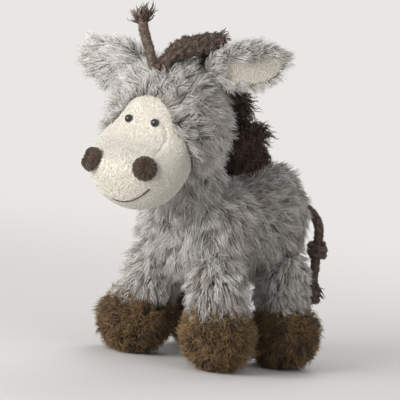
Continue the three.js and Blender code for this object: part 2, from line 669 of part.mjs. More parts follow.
// Tail: a cord that leaves the rump and hangs, with a knot half way and one at its end
const tail = new THREE.Group();
cords.add(tail);
const trunk = trunkForm(0);
const spine = Math.PI / 2;
const underTail = TAIL_ROOT_Z - TAIL_DIAMETER / 2;
const rumpShare = shareWhile((t) => trunk(spine, t, vec()).z > underTail, HAUNCH_SHARE, 1);
tail.position.set(0, trunk(spine, rumpShare, vec()).y + SEAM_GAP, TAIL_ROOT_Z);
const tailCord = (points) => cordGeometry(points, TAIL_DIAMETER, CORD_SIDES, cordSteps(points));
const below = (point, drop) => point.clone().addScaledVector(UP, -drop);
function knot(radius, height, top) {
  const round = arcPoints(radius, height / 2, -KNOT_CROWN_ANGLE, KNOT_CROWN_ANGLE, -height / 2);
  return turnedGeometry([[0, -height], ...round, [0, 0]], LIMB_SIDES, top, UP);
}
const knotTop = below(vec(...TAIL_ROUTE.at(-1)), SEAM_GAP);
const lowerTop = below(knotTop, TAIL_KNOT_HEIGHT + SEAM_GAP);
const lowerEnd = below(lowerTop, TAIL_LOWER_LENGTH);
const lowerMiddle = below(lowerTop, TAIL_LOWER_LENGTH / 2);
const lowerRoute = [lowerTop, lowerMiddle, lowerEnd].map((point) => point.toArray());
const endKnot = knot(TAIL_END_KNOT_RADIUS, TAIL_END_KNOT_HEIGHT, below(lowerEnd, SEAM_GAP));
addPiece(tail, 'tail_cord_upper', tailCord(TAIL_ROUTE), BROWN_CORD);
addPiece(tail, 'tail_knot', knot(TAIL_KNOT_RADIUS, TAIL_KNOT_HEIGHT, knotTop), BROWN_CORD);
addPiece(tail, 'tail_cord_lower', tailCord(lowerRoute), BROWN_CORD);
addPiece(tail, 'tail_end_knot', endKnot, BROWN_CORD);

// The origin is on the floor, under the middle of the toy without its cords
const stuffed = new THREE.Box3();
donkey.updateMatrixWorld(true);
donkey.children.filter((group) => group !== cords).forEach((group) => stuffed.expandByObject(group, true));
const middle = stuffed.getCenter(vec());
donkey.position.set(-middle.x, -middle.y, -stuffed.min.z);
donkey.updateMatrixWorld(true);

export default donkey;
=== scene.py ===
"""Dresses a stuffed plush donkey in cloth, pile, yarn and cords, with a camera, a floor and soft light.

Lengths are in millimetres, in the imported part's frame, and turn to metres as a mesh is made.
"""

import json
import logging
import math
from collections.abc import Sequence
from dataclasses import dataclass, field
from enum import Enum

import bpy
import numpy as np
from mathutils import Euler, Matrix, Vector
from mathutils.bvhtree import BVHTree
from mathutils.kdtree import KDTree


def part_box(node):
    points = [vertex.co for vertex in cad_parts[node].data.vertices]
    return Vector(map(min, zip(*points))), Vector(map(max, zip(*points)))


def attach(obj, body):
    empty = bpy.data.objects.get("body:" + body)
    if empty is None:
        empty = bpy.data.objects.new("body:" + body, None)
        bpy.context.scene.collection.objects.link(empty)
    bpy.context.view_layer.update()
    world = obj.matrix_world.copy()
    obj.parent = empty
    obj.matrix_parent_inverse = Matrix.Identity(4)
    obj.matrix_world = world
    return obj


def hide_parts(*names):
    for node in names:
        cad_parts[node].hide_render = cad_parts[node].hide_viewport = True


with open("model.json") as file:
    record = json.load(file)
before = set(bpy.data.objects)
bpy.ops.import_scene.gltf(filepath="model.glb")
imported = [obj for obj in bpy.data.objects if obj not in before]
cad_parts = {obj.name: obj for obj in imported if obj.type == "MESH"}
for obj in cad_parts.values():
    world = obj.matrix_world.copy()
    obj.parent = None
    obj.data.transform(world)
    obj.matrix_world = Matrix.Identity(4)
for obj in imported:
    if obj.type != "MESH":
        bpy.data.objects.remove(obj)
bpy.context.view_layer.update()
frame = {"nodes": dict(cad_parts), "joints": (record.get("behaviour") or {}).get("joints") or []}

LOG = logging.getLogger("donkey")
MM = 0.001
UP = np.array([0.0, 0.0, 1.0])
BAKE_MAP = "OFBake"
# A pile with more triangles than this is made in several pieces.
PIECE_TRIANGLES = 190_000
# How far the shoulders lie in front of the middle of the stance.
SHOULDER_REACH = 36.0
# The tints that locks may have on the map, and the distance there between the corners of a lock.
TINT_RANGE = (0.02, 0.97)
TINT_STEP = 0.005
LOCK_SIDES = 3
# Two unit directions count as parallel below this product, and a path as steep above this share of UP.
PARALLEL = 0.1
STEEP = 0.9
# A small push that keeps two directions from being parallel, and the steps of a search by halves.
NUDGE = 0.01
HALVINGS = 40
Array = np.ndarray


class Side(Enum):
    """A side of the animal, by the sign of its X."""

    LEFT = 1
    RIGHT = -1

    @property
    def word(self) -> str:
        """The side's name as the frame's nodes spell it."""
        return self.name.lower()


class Corner(Enum):
    """A leg, by the words of its nodes."""

    FRONT_LEFT = "front_left"
    FRONT_RIGHT = "front_right"
    HIND_LEFT = "hind_left"
    HIND_RIGHT = "hind_right"

    @property
    def is_front(self) -> bool:
        """Whether it is one of the two front legs."""
        return self.value.startswith("front")

    @property
    def outward(self) -> float:
        """The sign of X on the leg's outer side."""
        return 1.0 if self.value.endswith("left") else -1.0


def unit(vectors: Array) -> Array:
    """Vectors scaled to a length of 1."""
    return vectors / np.maximum(np.linalg.norm(vectors, axis=-1, keepdims=True), 1e-9)


def linear(code: str) -> tuple[float, float, float, float]:
    """A colour for a shader from its sRGB hex code.

    Args:
        code: Six hex digits, such as "a1b2c3".

    Returns:
        Linear red, green and blue with an alpha of 1.
    """
    parts = [int(code[i:i + 2], 16) / 255 for i in (0, 2, 4)]
    red, green, blue = (p / 12.92 if p <= 0.04045 else ((p + 0.055) / 1.055) ** 2.4 for p in parts)
    return red, green, blue, 1.0


def joint(name: str) -> tuple[Array, Array]:
    """A joint's place in millimetres and its axis, from the frame.

    Args:
        name: The joint's name in the record.

    Returns:
        The point and the unit axis.
    """
    found = next(j for j in frame["joints"] if j["name"] == name)
    return np.array(found["pos_m"]) / MM, unit(np.array(found["axis"], float))


def node_box(node: str) -> tuple[Array, Array]:
    """The middle and the half sizes of a CAD node's box, in millimetres."""
    low, high = (np.array(corner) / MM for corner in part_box(node))
    return (low + high) / 2, (high - low) / 2


def catmull(points: Array, shares: Array) -> Array:
    """Places on a smooth line through points.

    Args:
        points: The points that the line passes, in order.
        shares: Shares from 0 to 1 of the line, with an equal share for each span.

    Returns:
        One place for each share.
    """
    last = len(points) - 1
    padded = np.vstack([2 * points[:1] - points[1:2], points, 2 * points[-1:] - points[-2:-1]])
    at = np.clip(shares, 0, 1) * last
    span = np.minimum(at.astype(int), last - 1)
    t = (at - span)[:, None]
    a, b, c, d = (padded[span + k] for k in range(4))
    return (2 * b + (c - a) * t + (2 * a - 5 * b + 4 * c - d) * t**2 + (3 * b - a - 3 * c + d) * t**3) / 2


def nearest(points: Array, centres: Array) -> Array:
    """The index of the centre that is nearest to each point."""
    tree = KDTree(len(centres))
    for i, centre in enumerate(centres):
        tree.insert(centre, i)
    tree.balance()
    return np.array([tree.find(point)[1] for point in points], int)


@dataclass
class Surface:
    """A mesh in the making: points in millimetres, faces by their number of corners, and map places."""

    points: Array
    faces: list[Array]
    uv: Array | None = None

    @staticmethod
    def joined(parts: Sequence["Surface"]) -> "Surface":
        """Several surfaces as one, each still closed in itself.

        Args:
            parts: The surfaces, all with map places or all without.

        Returns:
            One surface.
        """
        starts = np.cumsum([0] + [len(part.points) for part in parts])
        faces = [f + start for part, start in zip(parts, starts) for f in part.faces]
        uv = None if parts[0].uv is None else np.vstack([part.uv for part in parts])
        return Surface(np.vstack([part.points for part in parts]), faces, uv)

    def triangles(self) -> Array:
        """Every face cut into triangles."""
        fans = [f[:, [0, k, k + 1]] for f in self.faces for k in range(1, f.shape[1] - 1)]
        return np.concatenate(fans)

    def normals(self) -> Array:
        """The outward direction at each point."""
        corners = self.triangles()
        a, b, c = (self.points[corners[:, k]] for k in range(3))
        total = np.zeros_like(self.points)
        for k in range(3):
            np.add.at(total, corners[:, k], np.cross(b - a, c - a))
        return unit(total)

    def moved(self, place: "Placement") -> "Surface":
        """The surface carried from a placement's own frame to the part's."""
        return Surface(place.point(self.points), self.faces, self.uv)

    def scatter(self, spacing: float, rng: np.random.Generator) -> tuple[Array, Array]:
        """Points spread evenly over the surface.

        Args:
            spacing: The mean distance between neighbours.
            rng: The seeded source of chance.

        Returns:
            The points and the outward directions there.
        """
        corners = self.triangles()
        a, b, c = (self.points[corners[:, k]] for k in range(3))
        area = np.linalg.norm(np.cross(b - a, c - a), axis=1) / 2
        pick = rng.choice(len(area), int(area.sum() / spacing**2), p=area / area.sum())
        u, v = rng.random((2, len(pick), 1))
        u, v = np.where(u + v > 1, 1 - u, u), np.where(u + v > 1, 1 - v, v)
        weights = (1 - u - v, u, v)
        chosen = corners[pick]
        smooth = self.normals()
        points = sum(w * self.points[chosen[:, k]] for k, w in enumerate(weights))
        return points, unit(sum(w * smooth[chosen[:, k]] for k, w in enumerate(weights)))

    def holds(self, points: Array) -> Array:
        """Whether each point is inside this closed surface."""
        tree = BVHTree.FromPolygons(self.points.tolist(), self.triangles().tolist())
        found = [tree.find_nearest(point) for point in points.tolist()]
        return np.array([(Vector(p) - hit[0]).dot(hit[1]) < 0 for p, hit in zip(points.tolist(), found)])

    def mesh(self, name: str) -> bpy.types.Mesh:
        """The surface as a Blender mesh in metres, shaded smooth.

        Args:
            name: The mesh's name.

        Returns:
            The new mesh.
        """
        corners = np.concatenate([f.ravel() for f in self.faces])
        sizes = np.concatenate([np.full(len(f), f.shape[1]) for f in self.faces])
        made = bpy.data.meshes.new(name)
        made.vertices.add(len(self.points))
        made.vertices.foreach_set("co", (self.points * MM).astype(np.float32).ravel())
        made.loops.add(len(corners))
        made.loops.foreach_set("vertex_index", corners.astype(np.int32))
        made.polygons.add(len(sizes))
        made.polygons.foreach_set("loop_start", (np.cumsum(sizes) - sizes).astype(np.int32))
        made.polygons.foreach_set("use_smooth", np.ones(len(sizes), bool))
        made.update(calc_edges=True)
        if self.uv is not None:
            layer = made.uv_layers.new(name=BAKE_MAP)
            layer.data.foreach_set("uv", self.uv[corners].astype(np.float32).ravel())
        made.validate()
        return made

    def piece(self, name: str, finish: "Finish", body: str, slot: str) -> bpy.types.Object:
        """The surface as a piece of the toy.

        Args:
            name: The piece's name.
            finish: What it is made of.
            body: The body that it moves with.
            slot: The record's material slot; not used.

        Returns:
            The new object, riding on its body.
        """
        made = bpy.data.objects.new(name, self.mesh(name))
        bpy.context.scene.collection.objects.link(made)
        made.data.materials.append(finish.material())
        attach(made, body)
        return made


@dataclass(frozen=True)
class Placement:
    """A frame of its own: an origin in millimetres and three axes as the columns of a matrix."""

    origin: Array
    axes: Array = field(default_factory=lambda: np.eye(3))

    def point(self, points: Array) -> Array:
        """Points of this frame in the part's frame."""
        return points @ self.axes.T + self.origin

    def local(self, points: Array) -> Array:
        """Points of the part's frame in this frame."""
        return (points - self.origin) @ self.axes

    def direction(self, vectors: Array) -> Array:
        """Directions of this frame in the part's frame."""
        return vectors @ self.axes.T


def closed_rings(rings: Array) -> Surface:
    """A closed skin over rings of points, with the first and the last drawn to a pole.

    Args:
        rings: Points by ring and by place round the ring.

    Returns:
        The skin, facing outwards where the rings turn counterclockwise seen from their last one.
    """
    count, sides = rings.shape[0] - 2, rings.shape[1]
    poles = rings[[0, -1]].mean(axis=1)
    points = np.vstack([rings[1:-1].reshape(-1, 3), poles])
    a = np.arange(sides)
    b = (a + 1) % sides
    steps = (np.arange(count - 1) * sides)[:, None]
    quads = np.stack([steps + a, steps + b, steps + sides + b, steps + sides + a], axis=-1).reshape(-1, 4)
    first, last = count * sides, count * sides + 1
    end = (count - 1) * sides
    fans = np.vstack([np.stack([b, a, np.full(sides, first)], 1),
                      np.stack([end + a, end + b, np.full(sides, last)], 1)])
    return Surface(points, [quads, fans])


@dataclass(frozen=True)
class StuffedForm:
    """Rings round a spine, whose half sizes swell and taper as a sewn and filled form does."""

    middles: Array
    halves: Array
    across: Array
    along: Array

    def at(self, turns: Array, shares: Array) -> Array:
        """Points of the form.

        Args:
            turns: Angles round the rings.
            shares: Shares along the spine.

        Returns:
            One point for each pair.
        """
        size = np.sqrt(np.maximum(catmull(self.halves**2, shares), 0))
        middle = catmull(self.middles, shares)
        aside = size[:, :1] * np.cos(turns)[:, None] * self.across
        return middle + aside + size[:, 1:] * np.sin(turns)[:, None] * self.along

    def surface(self, sides: int, rings: int) -> Surface:
        """The whole form as a closed skin."""
        shares = (1 - np.cos(np.linspace(0, np.pi, rings))) / 2
        turns = np.linspace(0, 2 * np.pi, sides, endpoint=False)
        grid = self.at(np.tile(turns, rings), np.repeat(shares, sides))
        return closed_rings(grid.reshape(rings, sides, 3))


def ball(middle: Array, halves: Array, sides: int = 32) -> Surface:
    """A round form with three half sizes."""
    heights = np.linspace(-np.pi / 2, np.pi / 2, sides // 2 + 1)
    turns = np.linspace(0, 2 * np.pi, sides, endpoint=False)
    level, turn = np.meshgrid(heights, turns, indexing="ij")
    shape = np.stack([np.cos(level) * np.cos(turn), np.cos(level) * np.sin(turn), np.sin(level)], axis=-1)
    return closed_rings(shape * halves + middle)


def side_frames(path: Array) -> tuple[Array, Array]:
    """Two directions square to a path at each of its points, with no twist between neighbours.

    Args:
        path: The points of the path.

    Returns:
        The first and the second direction.
    """
    ahead = unit(np.gradient(path, axis=0))
    first = unit(np.cross(ahead[0], UP if abs(ahead[0][2]) < STEEP else np.array([1.0, 0, 0])))
    firsts = []
    for step in ahead:
        first = unit(first - step * (first @ step))
        firsts.append(first)
    return np.array(firsts), np.cross(ahead, np.array(firsts))


def tube(path: Array, radii: Array, sides: int) -> Surface:
    """A closed round tube along a path, with a radius for each point of it or for each side at each point."""
    first, second = side_frames(path)
    turns = np.linspace(0, 2 * np.pi, sides, endpoint=False)
    wide = radii[:, None] if radii.ndim == 1 else radii
    round_part = first[:, None] * np.cos(turns)[:, None] + second[:, None] * np.sin(turns)[:, None]
    rings = path[:, None] + round_part * np.broadcast_to(wide, (len(path), sides))[:, :, None]
    return closed_rings(np.concatenate([path[:1, None].repeat(sides, 1), rings,
                                        path[-1:, None].repeat(sides, 1)]))


def merged(parts: Sequence[Surface], voxel: float, rounds: int) -> Surface:
    """One closed skin round several closed forms, with soft blends where they meet.

    Args:
        parts: The forms.
        voxel: The size of the new faces.
        rounds: How often the skin is smoothed.

    Returns:
        The skin, in four-sided faces.
    """
    shape = bpy.data.objects.new("merging", Surface.joined(parts).mesh("merging"))
    bpy.context.scene.collection.objects.link(shape)
    remesh = shape.modifiers.new("Remesh", "REMESH")
    remesh.mode = "VOXEL"
    remesh.voxel_size = voxel * MM
    smooth = shape.modifiers.new("Smooth", "SMOOTH")
    smooth.factor = 0.5
    smooth.iterations = rounds
    made = shape.evaluated_get(bpy.context.evaluated_depsgraph_get()).to_mesh()
    points = np.empty(len(made.vertices) * 3, np.float32)
    corners = np.empty(len(made.loops), np.int32)
    made.vertices.foreach_get("co", points)
    made.loops.foreach_get("vertex_index", corners)
    bpy.data.objects.remove(shape)
    return Surface(points.reshape(-1, 3).astype(float) / MM, [corners.reshape(-1, 4)])


def add_node(tree: bpy.types.NodeTree, kind: str, settings: dict | None = None,
             links: dict | None = None) -> bpy.types.Node:
    """Adds a shader node.

    Args:
        tree: The tree that it goes into.
        kind: The node's type, without Blender's prefix.
        settings: Values by the name of an input or property, with a ramp's colours as "stops".
        links: Output sockets by the input that each feeds.

    Returns:
        The new node.
    """
    made = tree.nodes.new("ShaderNode" + kind)
    for name, value in (settings or {}).items():
        if name == "stops":
            while len(made.color_ramp.elements) < len(value):
                made.color_ramp.elements.new(1.0)
            for element, (place, code) in zip(made.color_ramp.elements, value):
                element.position = place
                element.color = linear(code)
        elif isinstance(name, int) or name in made.inputs:
            made.inputs[name].default_value = value
        else:
            setattr(made, name, value)
    for name, socket in (links or {}).items():
        tree.links.new(socket, made.inputs[name])
    return made


def per_size(size: float) -> float:
    """The scale of a pattern in a material, from the size of one of its features in millimetres."""
    return 1 / (size * MM)


@dataclass(frozen=True)
class Finish:
    """What a piece is made of: the shader's own values, and nodes for its colour and relief."""

    name: str
    roughness: float
    sheen: float = 0.0
    coat: float = 0.0
    ior: float = 1.5

    def colour(self, tree: bpy.types.NodeTree) -> bpy.types.NodeSocket:
        """The output that gives the surface its colour."""
        raise NotImplementedError

    def relief(self, tree: bpy.types.NodeTree) -> bpy.types.NodeSocket | None:
        """The output that gives the surface its fine relief, if it has one."""
        return None

    def material(self) -> bpy.types.Material:
        """The finish as a material, made once."""
        made = bpy.data.materials.get(self.name)
        if made is None:
            made = bpy.data.materials.new(self.name)
            made.use_nodes = True
            tree = made.node_tree
            shader = tree.nodes["Principled BSDF"]
            values = {"Roughness": self.roughness, "IOR": self.ior,
                      "Sheen Weight": self.sheen, "Coat Weight": self.coat}
            for name, value in values.items():
                shader.inputs[name].default_value = value
            tree.links.new(self.colour(tree), shader.inputs["Base Color"])
            relief = self.relief(tree)
            if relief is not None:
                tree.links.new(relief, shader.inputs["Normal"])
        return made


@dataclass(frozen=True)
class PileFinish(Finish):
    """Cut pile: each lock goes from a dark root, painted shade for the depth of the pile, to a pale tip, and
    no two locks have the same tint.

    The map's first place is the lock's tint and its second is the way from root to tip.
    """

    dark: tuple[str, str, str] = ("000000", "000000", "000000")
    pale: tuple[str, str, str] = ("ffffff", "ffffff", "ffffff")

    def colour(self, tree: bpy.types.NodeTree) -> bpy.types.NodeSocket:
        """Two ramps from a root darkened as painted shade to a pale tip, mixed by the lock's tint."""
        place = add_node(tree, "UVMap", {"uv_map": BAKE_MAP})
        split = add_node(tree, "SeparateXYZ", links={0: place.outputs["UV"]})
        ramps = [add_node(tree, "ValToRGB", {"stops": list(zip((0.0, 0.45, 1.0), codes))},
                          {0: split.outputs["Y"]}) for codes in (self.dark, self.pale)]
        mix = add_node(tree, "Mix", {"data_type": "RGBA"},
                       {0: split.outputs["X"], 6: ramps[0].outputs[0], 7: ramps[1].outputs[0]})
        return mix.outputs[2]


@dataclass(frozen=True)
class MottledFinish(Finish):
    """A cloth, felt or moulding whose colour wanders between two tones, with a grain of its own."""

    dark: str = "000000"
    pale: str = "ffffff"
    patch: float = 4.0
    grain: float = 0.8
    depth: float = 0.2

    def colour(self, tree: bpy.types.NodeTree) -> bpy.types.NodeSocket:
        """Broad patches with a finer speckle on top."""
        place = add_node(tree, "TexCoord").outputs["Object"]
        noise = add_node(tree, "TexNoise", {"Scale": per_size(self.patch), "Detail": 6.0, "Roughness": 0.7},
                         {"Vector": place})
        ramp = add_node(tree, "ValToRGB", {"stops": [(0.34, self.dark), (0.66, self.pale)]},
                        {0: noise.outputs[0]})
        return ramp.outputs[0]

    def relief(self, tree: bpy.types.NodeTree) -> bpy.types.NodeSocket | None:
        """A bump in the size of the grain."""
        place = add_node(tree, "TexCoord").outputs["Object"]
        noise = add_node(tree, "TexNoise", {"Scale": per_size(self.grain), "Detail": 3.0}, {"Vector": place})
        bump = add_node(tree, "Bump", {"Strength": 0.6, "Distance": self.depth * MM},
                        {"Height": noise.outputs[0]})
        return bump.outputs[0]


# Long-pile acrylic plush: soft grey locks, matt, paler and a little cool at their tips, and darker at their
# roots as painted shade.
GREY_PILE = PileFinish("long_pile_acrylic_plush", 0.8, sheen=0.1,
                       dark=("787169", "a29990", "c4bbb3"), pale=("a39e97", "d6d2cc", "f8f6f2"))
# Short-pile plush: dense brown pile with ochre tips, darker at the roots as painted shade.
HOOF_PILE = PileFinish("short_pile_brown_plush", 0.8, sheen=0.1,
                       dark=("33271b", "443421", "59442b"), pale=("4f3c26", "785c3a", "ae8b58"))
# Crimped wool yarn, felted in its tufts: dark brown with a few redder hairs, darker at the roots as painted
# shade.
MANE_YARN = PileFinish("crimped_wool_yarn", 0.85,
                       dark=("1f1814", "2f2620", "42352d"), pale=("3a2d25", "5e4a3e", "887060"))
# Loose fibre that a felted cord sheds: warm brown, darker at the root as painted shade and pale where it is
# thin.
FELT_FIBRE = PileFinish("loose_felted_fibre", 0.85,
                        dark=("3a2f29", "4b3e36", "62534a"), pale=("5a4b41", "7d6b5f", "a59384"))
# Terry cloth: small cream loops, darker where they meet the ground as painted shade between the loops.
CREAM_LOOPS = PileFinish("looped_cotton_terry", 0.9, sheen=0.15,
                         dark=("cec7b9", "ded8cb", "e5e0d5"), pale=("d6d0c3", "e4dfd4", "ece9e1"))
# The same terry in the ears, a little greyer, with the same painted shade at the loops' feet.
EAR_LOOPS = PileFinish("beige_cotton_terry", 0.9, sheen=0.15,
                       dark=("b1aa9d", "cbc5b8", "d8d3c8"), pale=("c1bbae", "d9d4c9", "e6e2d9"))
# Knitted backing behind the pile and woven ground behind the loops: matt, seen only in partings.
GREY_BACKING = MottledFinish("knitted_backing_cloth_grey", 0.95, dark="76726e", pale="8f8b87", patch=6.0)
BROWN_BACKING = MottledFinish("knitted_backing_cloth_brown", 0.95, dark="3a2c1e", pale="523f2a", patch=5.0)
CREAM_GROUND = MottledFinish("terry_ground_weave_cream", 0.95, dark="d5cec0", pale="e4ded1", patch=3.0)
EAR_GROUND = MottledFinish("terry_ground_weave_beige", 0.95, dark="b8b1a4", pale="cdc7bb", patch=3.0)
# Pressed wool felt: close and matt, with darker valleys where it is gathered.
NOSTRIL_FELT = MottledFinish("pressed_brown_felt", 0.9, sheen=0.22, dark="190f08", pale="4e3925",
                             patch=2.2, grain=0.5, depth=0.4)
# Felted wool cord: mottled brown with a hairy skin.
FELTED_CORD = MottledFinish("felted_wool_cord", 0.95, sheen=0.1, dark="3f3029", pale="8b786b",
                            patch=3.5, grain=0.9, depth=0.6)
# The felted heart of a mane tuft, nearly black in its folds.
MANE_CORE = MottledFinish("felted_mane_core", 0.95, dark="1b1411", pale="43342b", patch=2.0, depth=0.6)
# Twisted cotton thread, nearly black.
MOUTH_THREAD = MottledFinish("twisted_cotton_thread", 0.75, dark="241d19", pale="4a3e36", patch=1.2,
                             grain=0.4, depth=0.1)
# Moulded black plastic, polished, with a sharp highlight.
BLACK_BEAD = MottledFinish("polished_black_abs", 0.08, coat=0.6, dark="060505", pale="12100f", patch=2.0,
                           grain=3.0, depth=0.01)
# Carded polyester fibre: white, matt and loose, hidden while the covers are closed.
FIBRE_FILL = MottledFinish("carded_polyester_fibre", 1.0, dark="dedcd5", pale="f4f3ee", patch=5.0,
                           grain=1.2, depth=0.8)
# Blown polythene: milky and smooth, with a soft gloss.
CLEAR_PLASTIC = MottledFinish("blown_polythene", 0.35, dark="d5d6cf", pale="e4e5df", patch=8.0, grain=4.0,
                              depth=0.05)
# Moulded nylon: plain white with a satin skin.
WHITE_PLASTIC = MottledFinish("moulded_white_nylon", 0.45, dark="e6e6e6", pale="f0f0f0", patch=4.0,
                              grain=2.0, depth=0.03)


@dataclass(frozen=True)
class Pile:
    """How locks of pile or yarn grow: sizes in millimetres, angles in degrees from the cloth's normal."""

    length: float
    spacing: float
    width: float
    lean: float
    sway: float = 24.0
    clump: float = 5.0
    gather: float = 0.5
    droop: float = 0.15
    wave: float = 0.8
    waves: float = 1.2
    uneven: float = 0.25
    steps: int = 4
    blunt: float = 1.8
    fleck: float = 0.13
    lean_spread: float = 9.0
    curl: float = 0.2
    phase_spread: float = 0.12
    wave_lift: float = 0.6
    wisp_spread: float = 0.2
    gather_rise: float = 1.3
    taper: float = 0.7
    least_girth: float = 0.05
    girth_spread: tuple[float, float] = (0.7, 1.25)
    tint_spread: float = 0.18
    floor_give: float = 0.02

    @property
    def triangles(self) -> int:
        """The triangles of one lock."""
        return 2 * LOCK_SIDES * (self.steps - 1) + LOCK_SIDES + 1

    def ways(self) -> Array:
        """The shares of a lock's length at which it has a ring or its tip."""
        return np.linspace(0, 1, self.steps + 1)

    def lines(self, roots: Array, normals: Array, naps: Array, centres: Array, owner: Array,
              rng: np.random.Generator, stretch: Array | float) -> tuple[Array, Array]:
        """The middle lines of the locks, which lean, wave, droop and gather in wisps.

        Args:
            roots: The places where locks leave the cloth.
            normals: The outward directions there.
            naps: The directions in which the pile lies there.
            centres: The lock in the middle of each wisp.
            owner: The wisp of each lock.
            rng: The seeded source of chance.
            stretch: The length of each lock, as a share of the pile's.

        Returns:
            The points of each line, and each lock's direction across the nap.
        """
        count, bunch = len(roots), len(centres)
        flat = unit(naps - normals * np.sum(naps * normals, axis=1, keepdims=True))
        aside = np.cross(normals, flat)
        swing = np.radians(rng.normal(0, self.sway, bunch)[owner] + rng.normal(0, self.sway / 2, count))
        lean = np.radians(self.lean + rng.normal(0, self.lean_spread, bunch)[owner]
                          + rng.normal(0, self.lean_spread, count))
        flow = flat * np.cos(swing)[:, None] + aside * np.sin(swing)[:, None]
        start = normals * np.cos(lean)[:, None] + flow * np.sin(lean)[:, None]
        length = self.length * stretch * (1 + self.uneven * rng.uniform(-1, 1, count))
        t = self.ways()[None, :, None]
        bend = (flow * self.curl - UP * self.droop)[:, None]
        paths = roots[:, None] + length[:, None, None] * (start[:, None] * t + bend * t**2)
        phase = rng.uniform(0, 1, bunch)[owner] + rng.normal(0, self.phase_spread, count)
        angle = 2 * np.pi * (self.waves * t + phase[:, None, None])
        across = np.cross(start, flow)
        across = unit(np.where(np.linalg.norm(across, axis=1, keepdims=True) > PARALLEL, across, aside))
        paths += self.wave * t * (np.sin(angle) * across[:, None]
                                  + np.cos(angle) * normals[:, None] * self.wave_lift)
        middle = paths[centres][owner] + self.wisp_spread * (roots - roots[centres][owner])[:, None]
        paths += self.gather * t**self.gather_rise * (middle - paths)
        return paths, aside

    def skins(self, paths: Array, normals: Array, aside: Array, rng: np.random.Generator) -> Array:
        """The points of the locks' skins: three-sided rings that narrow to the tip.

        Args:
            paths: The middle lines.
            normals: The outward directions at the roots.
            aside: The directions across the nap.
            rng: The seeded source of chance.

        Returns:
            The points by lock, ring after ring and then the tip.
        """
        count = len(paths)
        ahead = unit(np.gradient(paths, axis=1))
        right = unit(np.cross(ahead, normals[:, None] + NUDGE * aside[:, None]))
        over = np.cross(ahead, right)
        corners = np.arange(LOCK_SIDES) * 2 * np.pi / LOCK_SIDES
        spin = rng.uniform(0, 2 * np.pi, count)[:, None, None] + corners
        narrow = np.maximum(1 - self.ways()[None, :-1] ** self.blunt, self.least_girth)
        girth = self.width / 2 * narrow**self.taper
        girth = girth[:, :, None] * rng.uniform(*self.girth_spread, count)[:, None, None]
        rings = paths[:, :-1, None] + girth[..., None] * (
            right[:, :-1, None] * np.cos(spin)[..., None] + over[:, :-1, None] * np.sin(spin)[..., None])
        return np.concatenate([rings.reshape(count, -1, 3), paths[:, -1:]], axis=1)

    def faces(self, count: int) -> list[Array]:
        """The four-sided and the three-sided faces of a number of locks."""
        size = LOCK_SIDES * self.steps + 1
        base = (np.arange(count) * size)[:, None, None]
        after = [(c, (c + 1) % LOCK_SIDES) for c in range(LOCK_SIDES)]
        starts = range(0, LOCK_SIDES * (self.steps - 1), LOCK_SIDES)
        bands = [[r + c, r + d, r + LOCK_SIDES + d, r + LOCK_SIDES + c] for r in starts for c, d in after]
        top = LOCK_SIDES * (self.steps - 1)
        ends = [[0, 2, 1]] + [[top + c, top + d, size - 1] for c, d in after]
        return [(base + np.array(kind)).reshape(-1, len(kind[0])) for kind in (bands, ends)]

    def grow(self, roots: Array, normals: Array, naps: Array, rng: np.random.Generator,
             tones: Array | float = 0.5, stretch: Array | float = 1.0,
             floor: float | None = None) -> Surface:
        """Grows one closed, pointed lock from each root, gathered in wisps.

        Args:
            roots: The places where locks leave the cloth.
            normals: The outward directions there.
            naps: The directions in which the pile lies there.
            rng: The seeded source of chance.
            tones: The mean tint of each lock, from 0, dark, to 1, pale.
            stretch: The length of each lock, as a share of the pile's.
            floor: The height of the floor that presses the pile up, if it reaches one.

        Returns:
            All locks as one surface, with map places of tint and of the way from root to tip.
        """
        count = len(roots)
        wisps = max(1, int(count * (self.spacing / self.clump) ** 2))
        centres = rng.choice(count, wisps, replace=False)
        owner = nearest(roots, roots[centres])
        paths, aside = self.lines(roots, normals, naps, centres, owner, rng, stretch)
        points = self.skins(paths, normals, aside, rng)
        if floor is not None:
            points[..., 2] = np.maximum(points[..., 2], floor + self.floor_give * (points[..., 2] - floor))
        fleck = self.fleck * rng.normal(0, 1, wisps)[owner] + self.tint_spread * rng.normal(0, 1, count)
        tint = np.clip(tones + fleck, *TINT_RANGE)
        shift = TINT_STEP * np.append(np.tile(np.arange(LOCK_SIDES), self.steps), 1)
        way = np.append(np.repeat(self.ways()[:-1], LOCK_SIDES), 1.0)
        uv = np.stack(np.broadcast_arrays(tint[:, None] + shift, way[None]), axis=-1)
        return Surface(points.reshape(-1, 3), self.faces(count), uv.reshape(-1, 2))


# A real fibre of this plush is about 0.05 mm thick, too fine to show in the render. A lock is drawn 0.7 to
# 0.9 mm wide and stands for a bundle of fibres. The same holds for yarn, fuzz and frayed ends. Terry loops
# have about their real size.
GREY_LOCKS = Pile(length=14, spacing=0.95, width=0.78, lean=44, sway=40, clump=3.8, gather=0.52, droop=0.15,
                  wave=1.7, waves=1.0, uneven=0.45, fleck=0.46)
LEG_LOCKS = Pile(length=13.5, spacing=0.95, width=0.8, lean=36, sway=22, clump=3.6, gather=0.5, droop=0.15,
                 wave=1.4, waves=0.9, uneven=0.4, fleck=0.46)
BREAST_LOCKS = Pile(length=15.5, spacing=0.95, width=0.88, lean=40, sway=34, clump=4.8, gather=0.6,
                    droop=0.15, wave=1.8, waves=0.9, uneven=0.4, fleck=0.56)
RUFF_LOCKS = Pile(length=11, spacing=0.9, width=0.75, lean=36, sway=42, clump=3.6, gather=0.5, droop=0.12,
                  wave=1.6, waves=1.0, uneven=0.45, fleck=0.26)
HOOF_LOCKS = Pile(length=10, spacing=0.85, width=0.8, lean=46, sway=90, clump=3.4, gather=0.42, droop=0.05,
                  wave=1.5, waves=1.0, uneven=0.4, steps=3, fleck=0.34)
EAR_LOCKS = Pile(length=10.5, spacing=0.78, width=0.7, lean=58, sway=22, clump=3.4, gather=0.42, droop=0.05,
                 wave=1.0, waves=0.8, uneven=0.4, fleck=0.12)
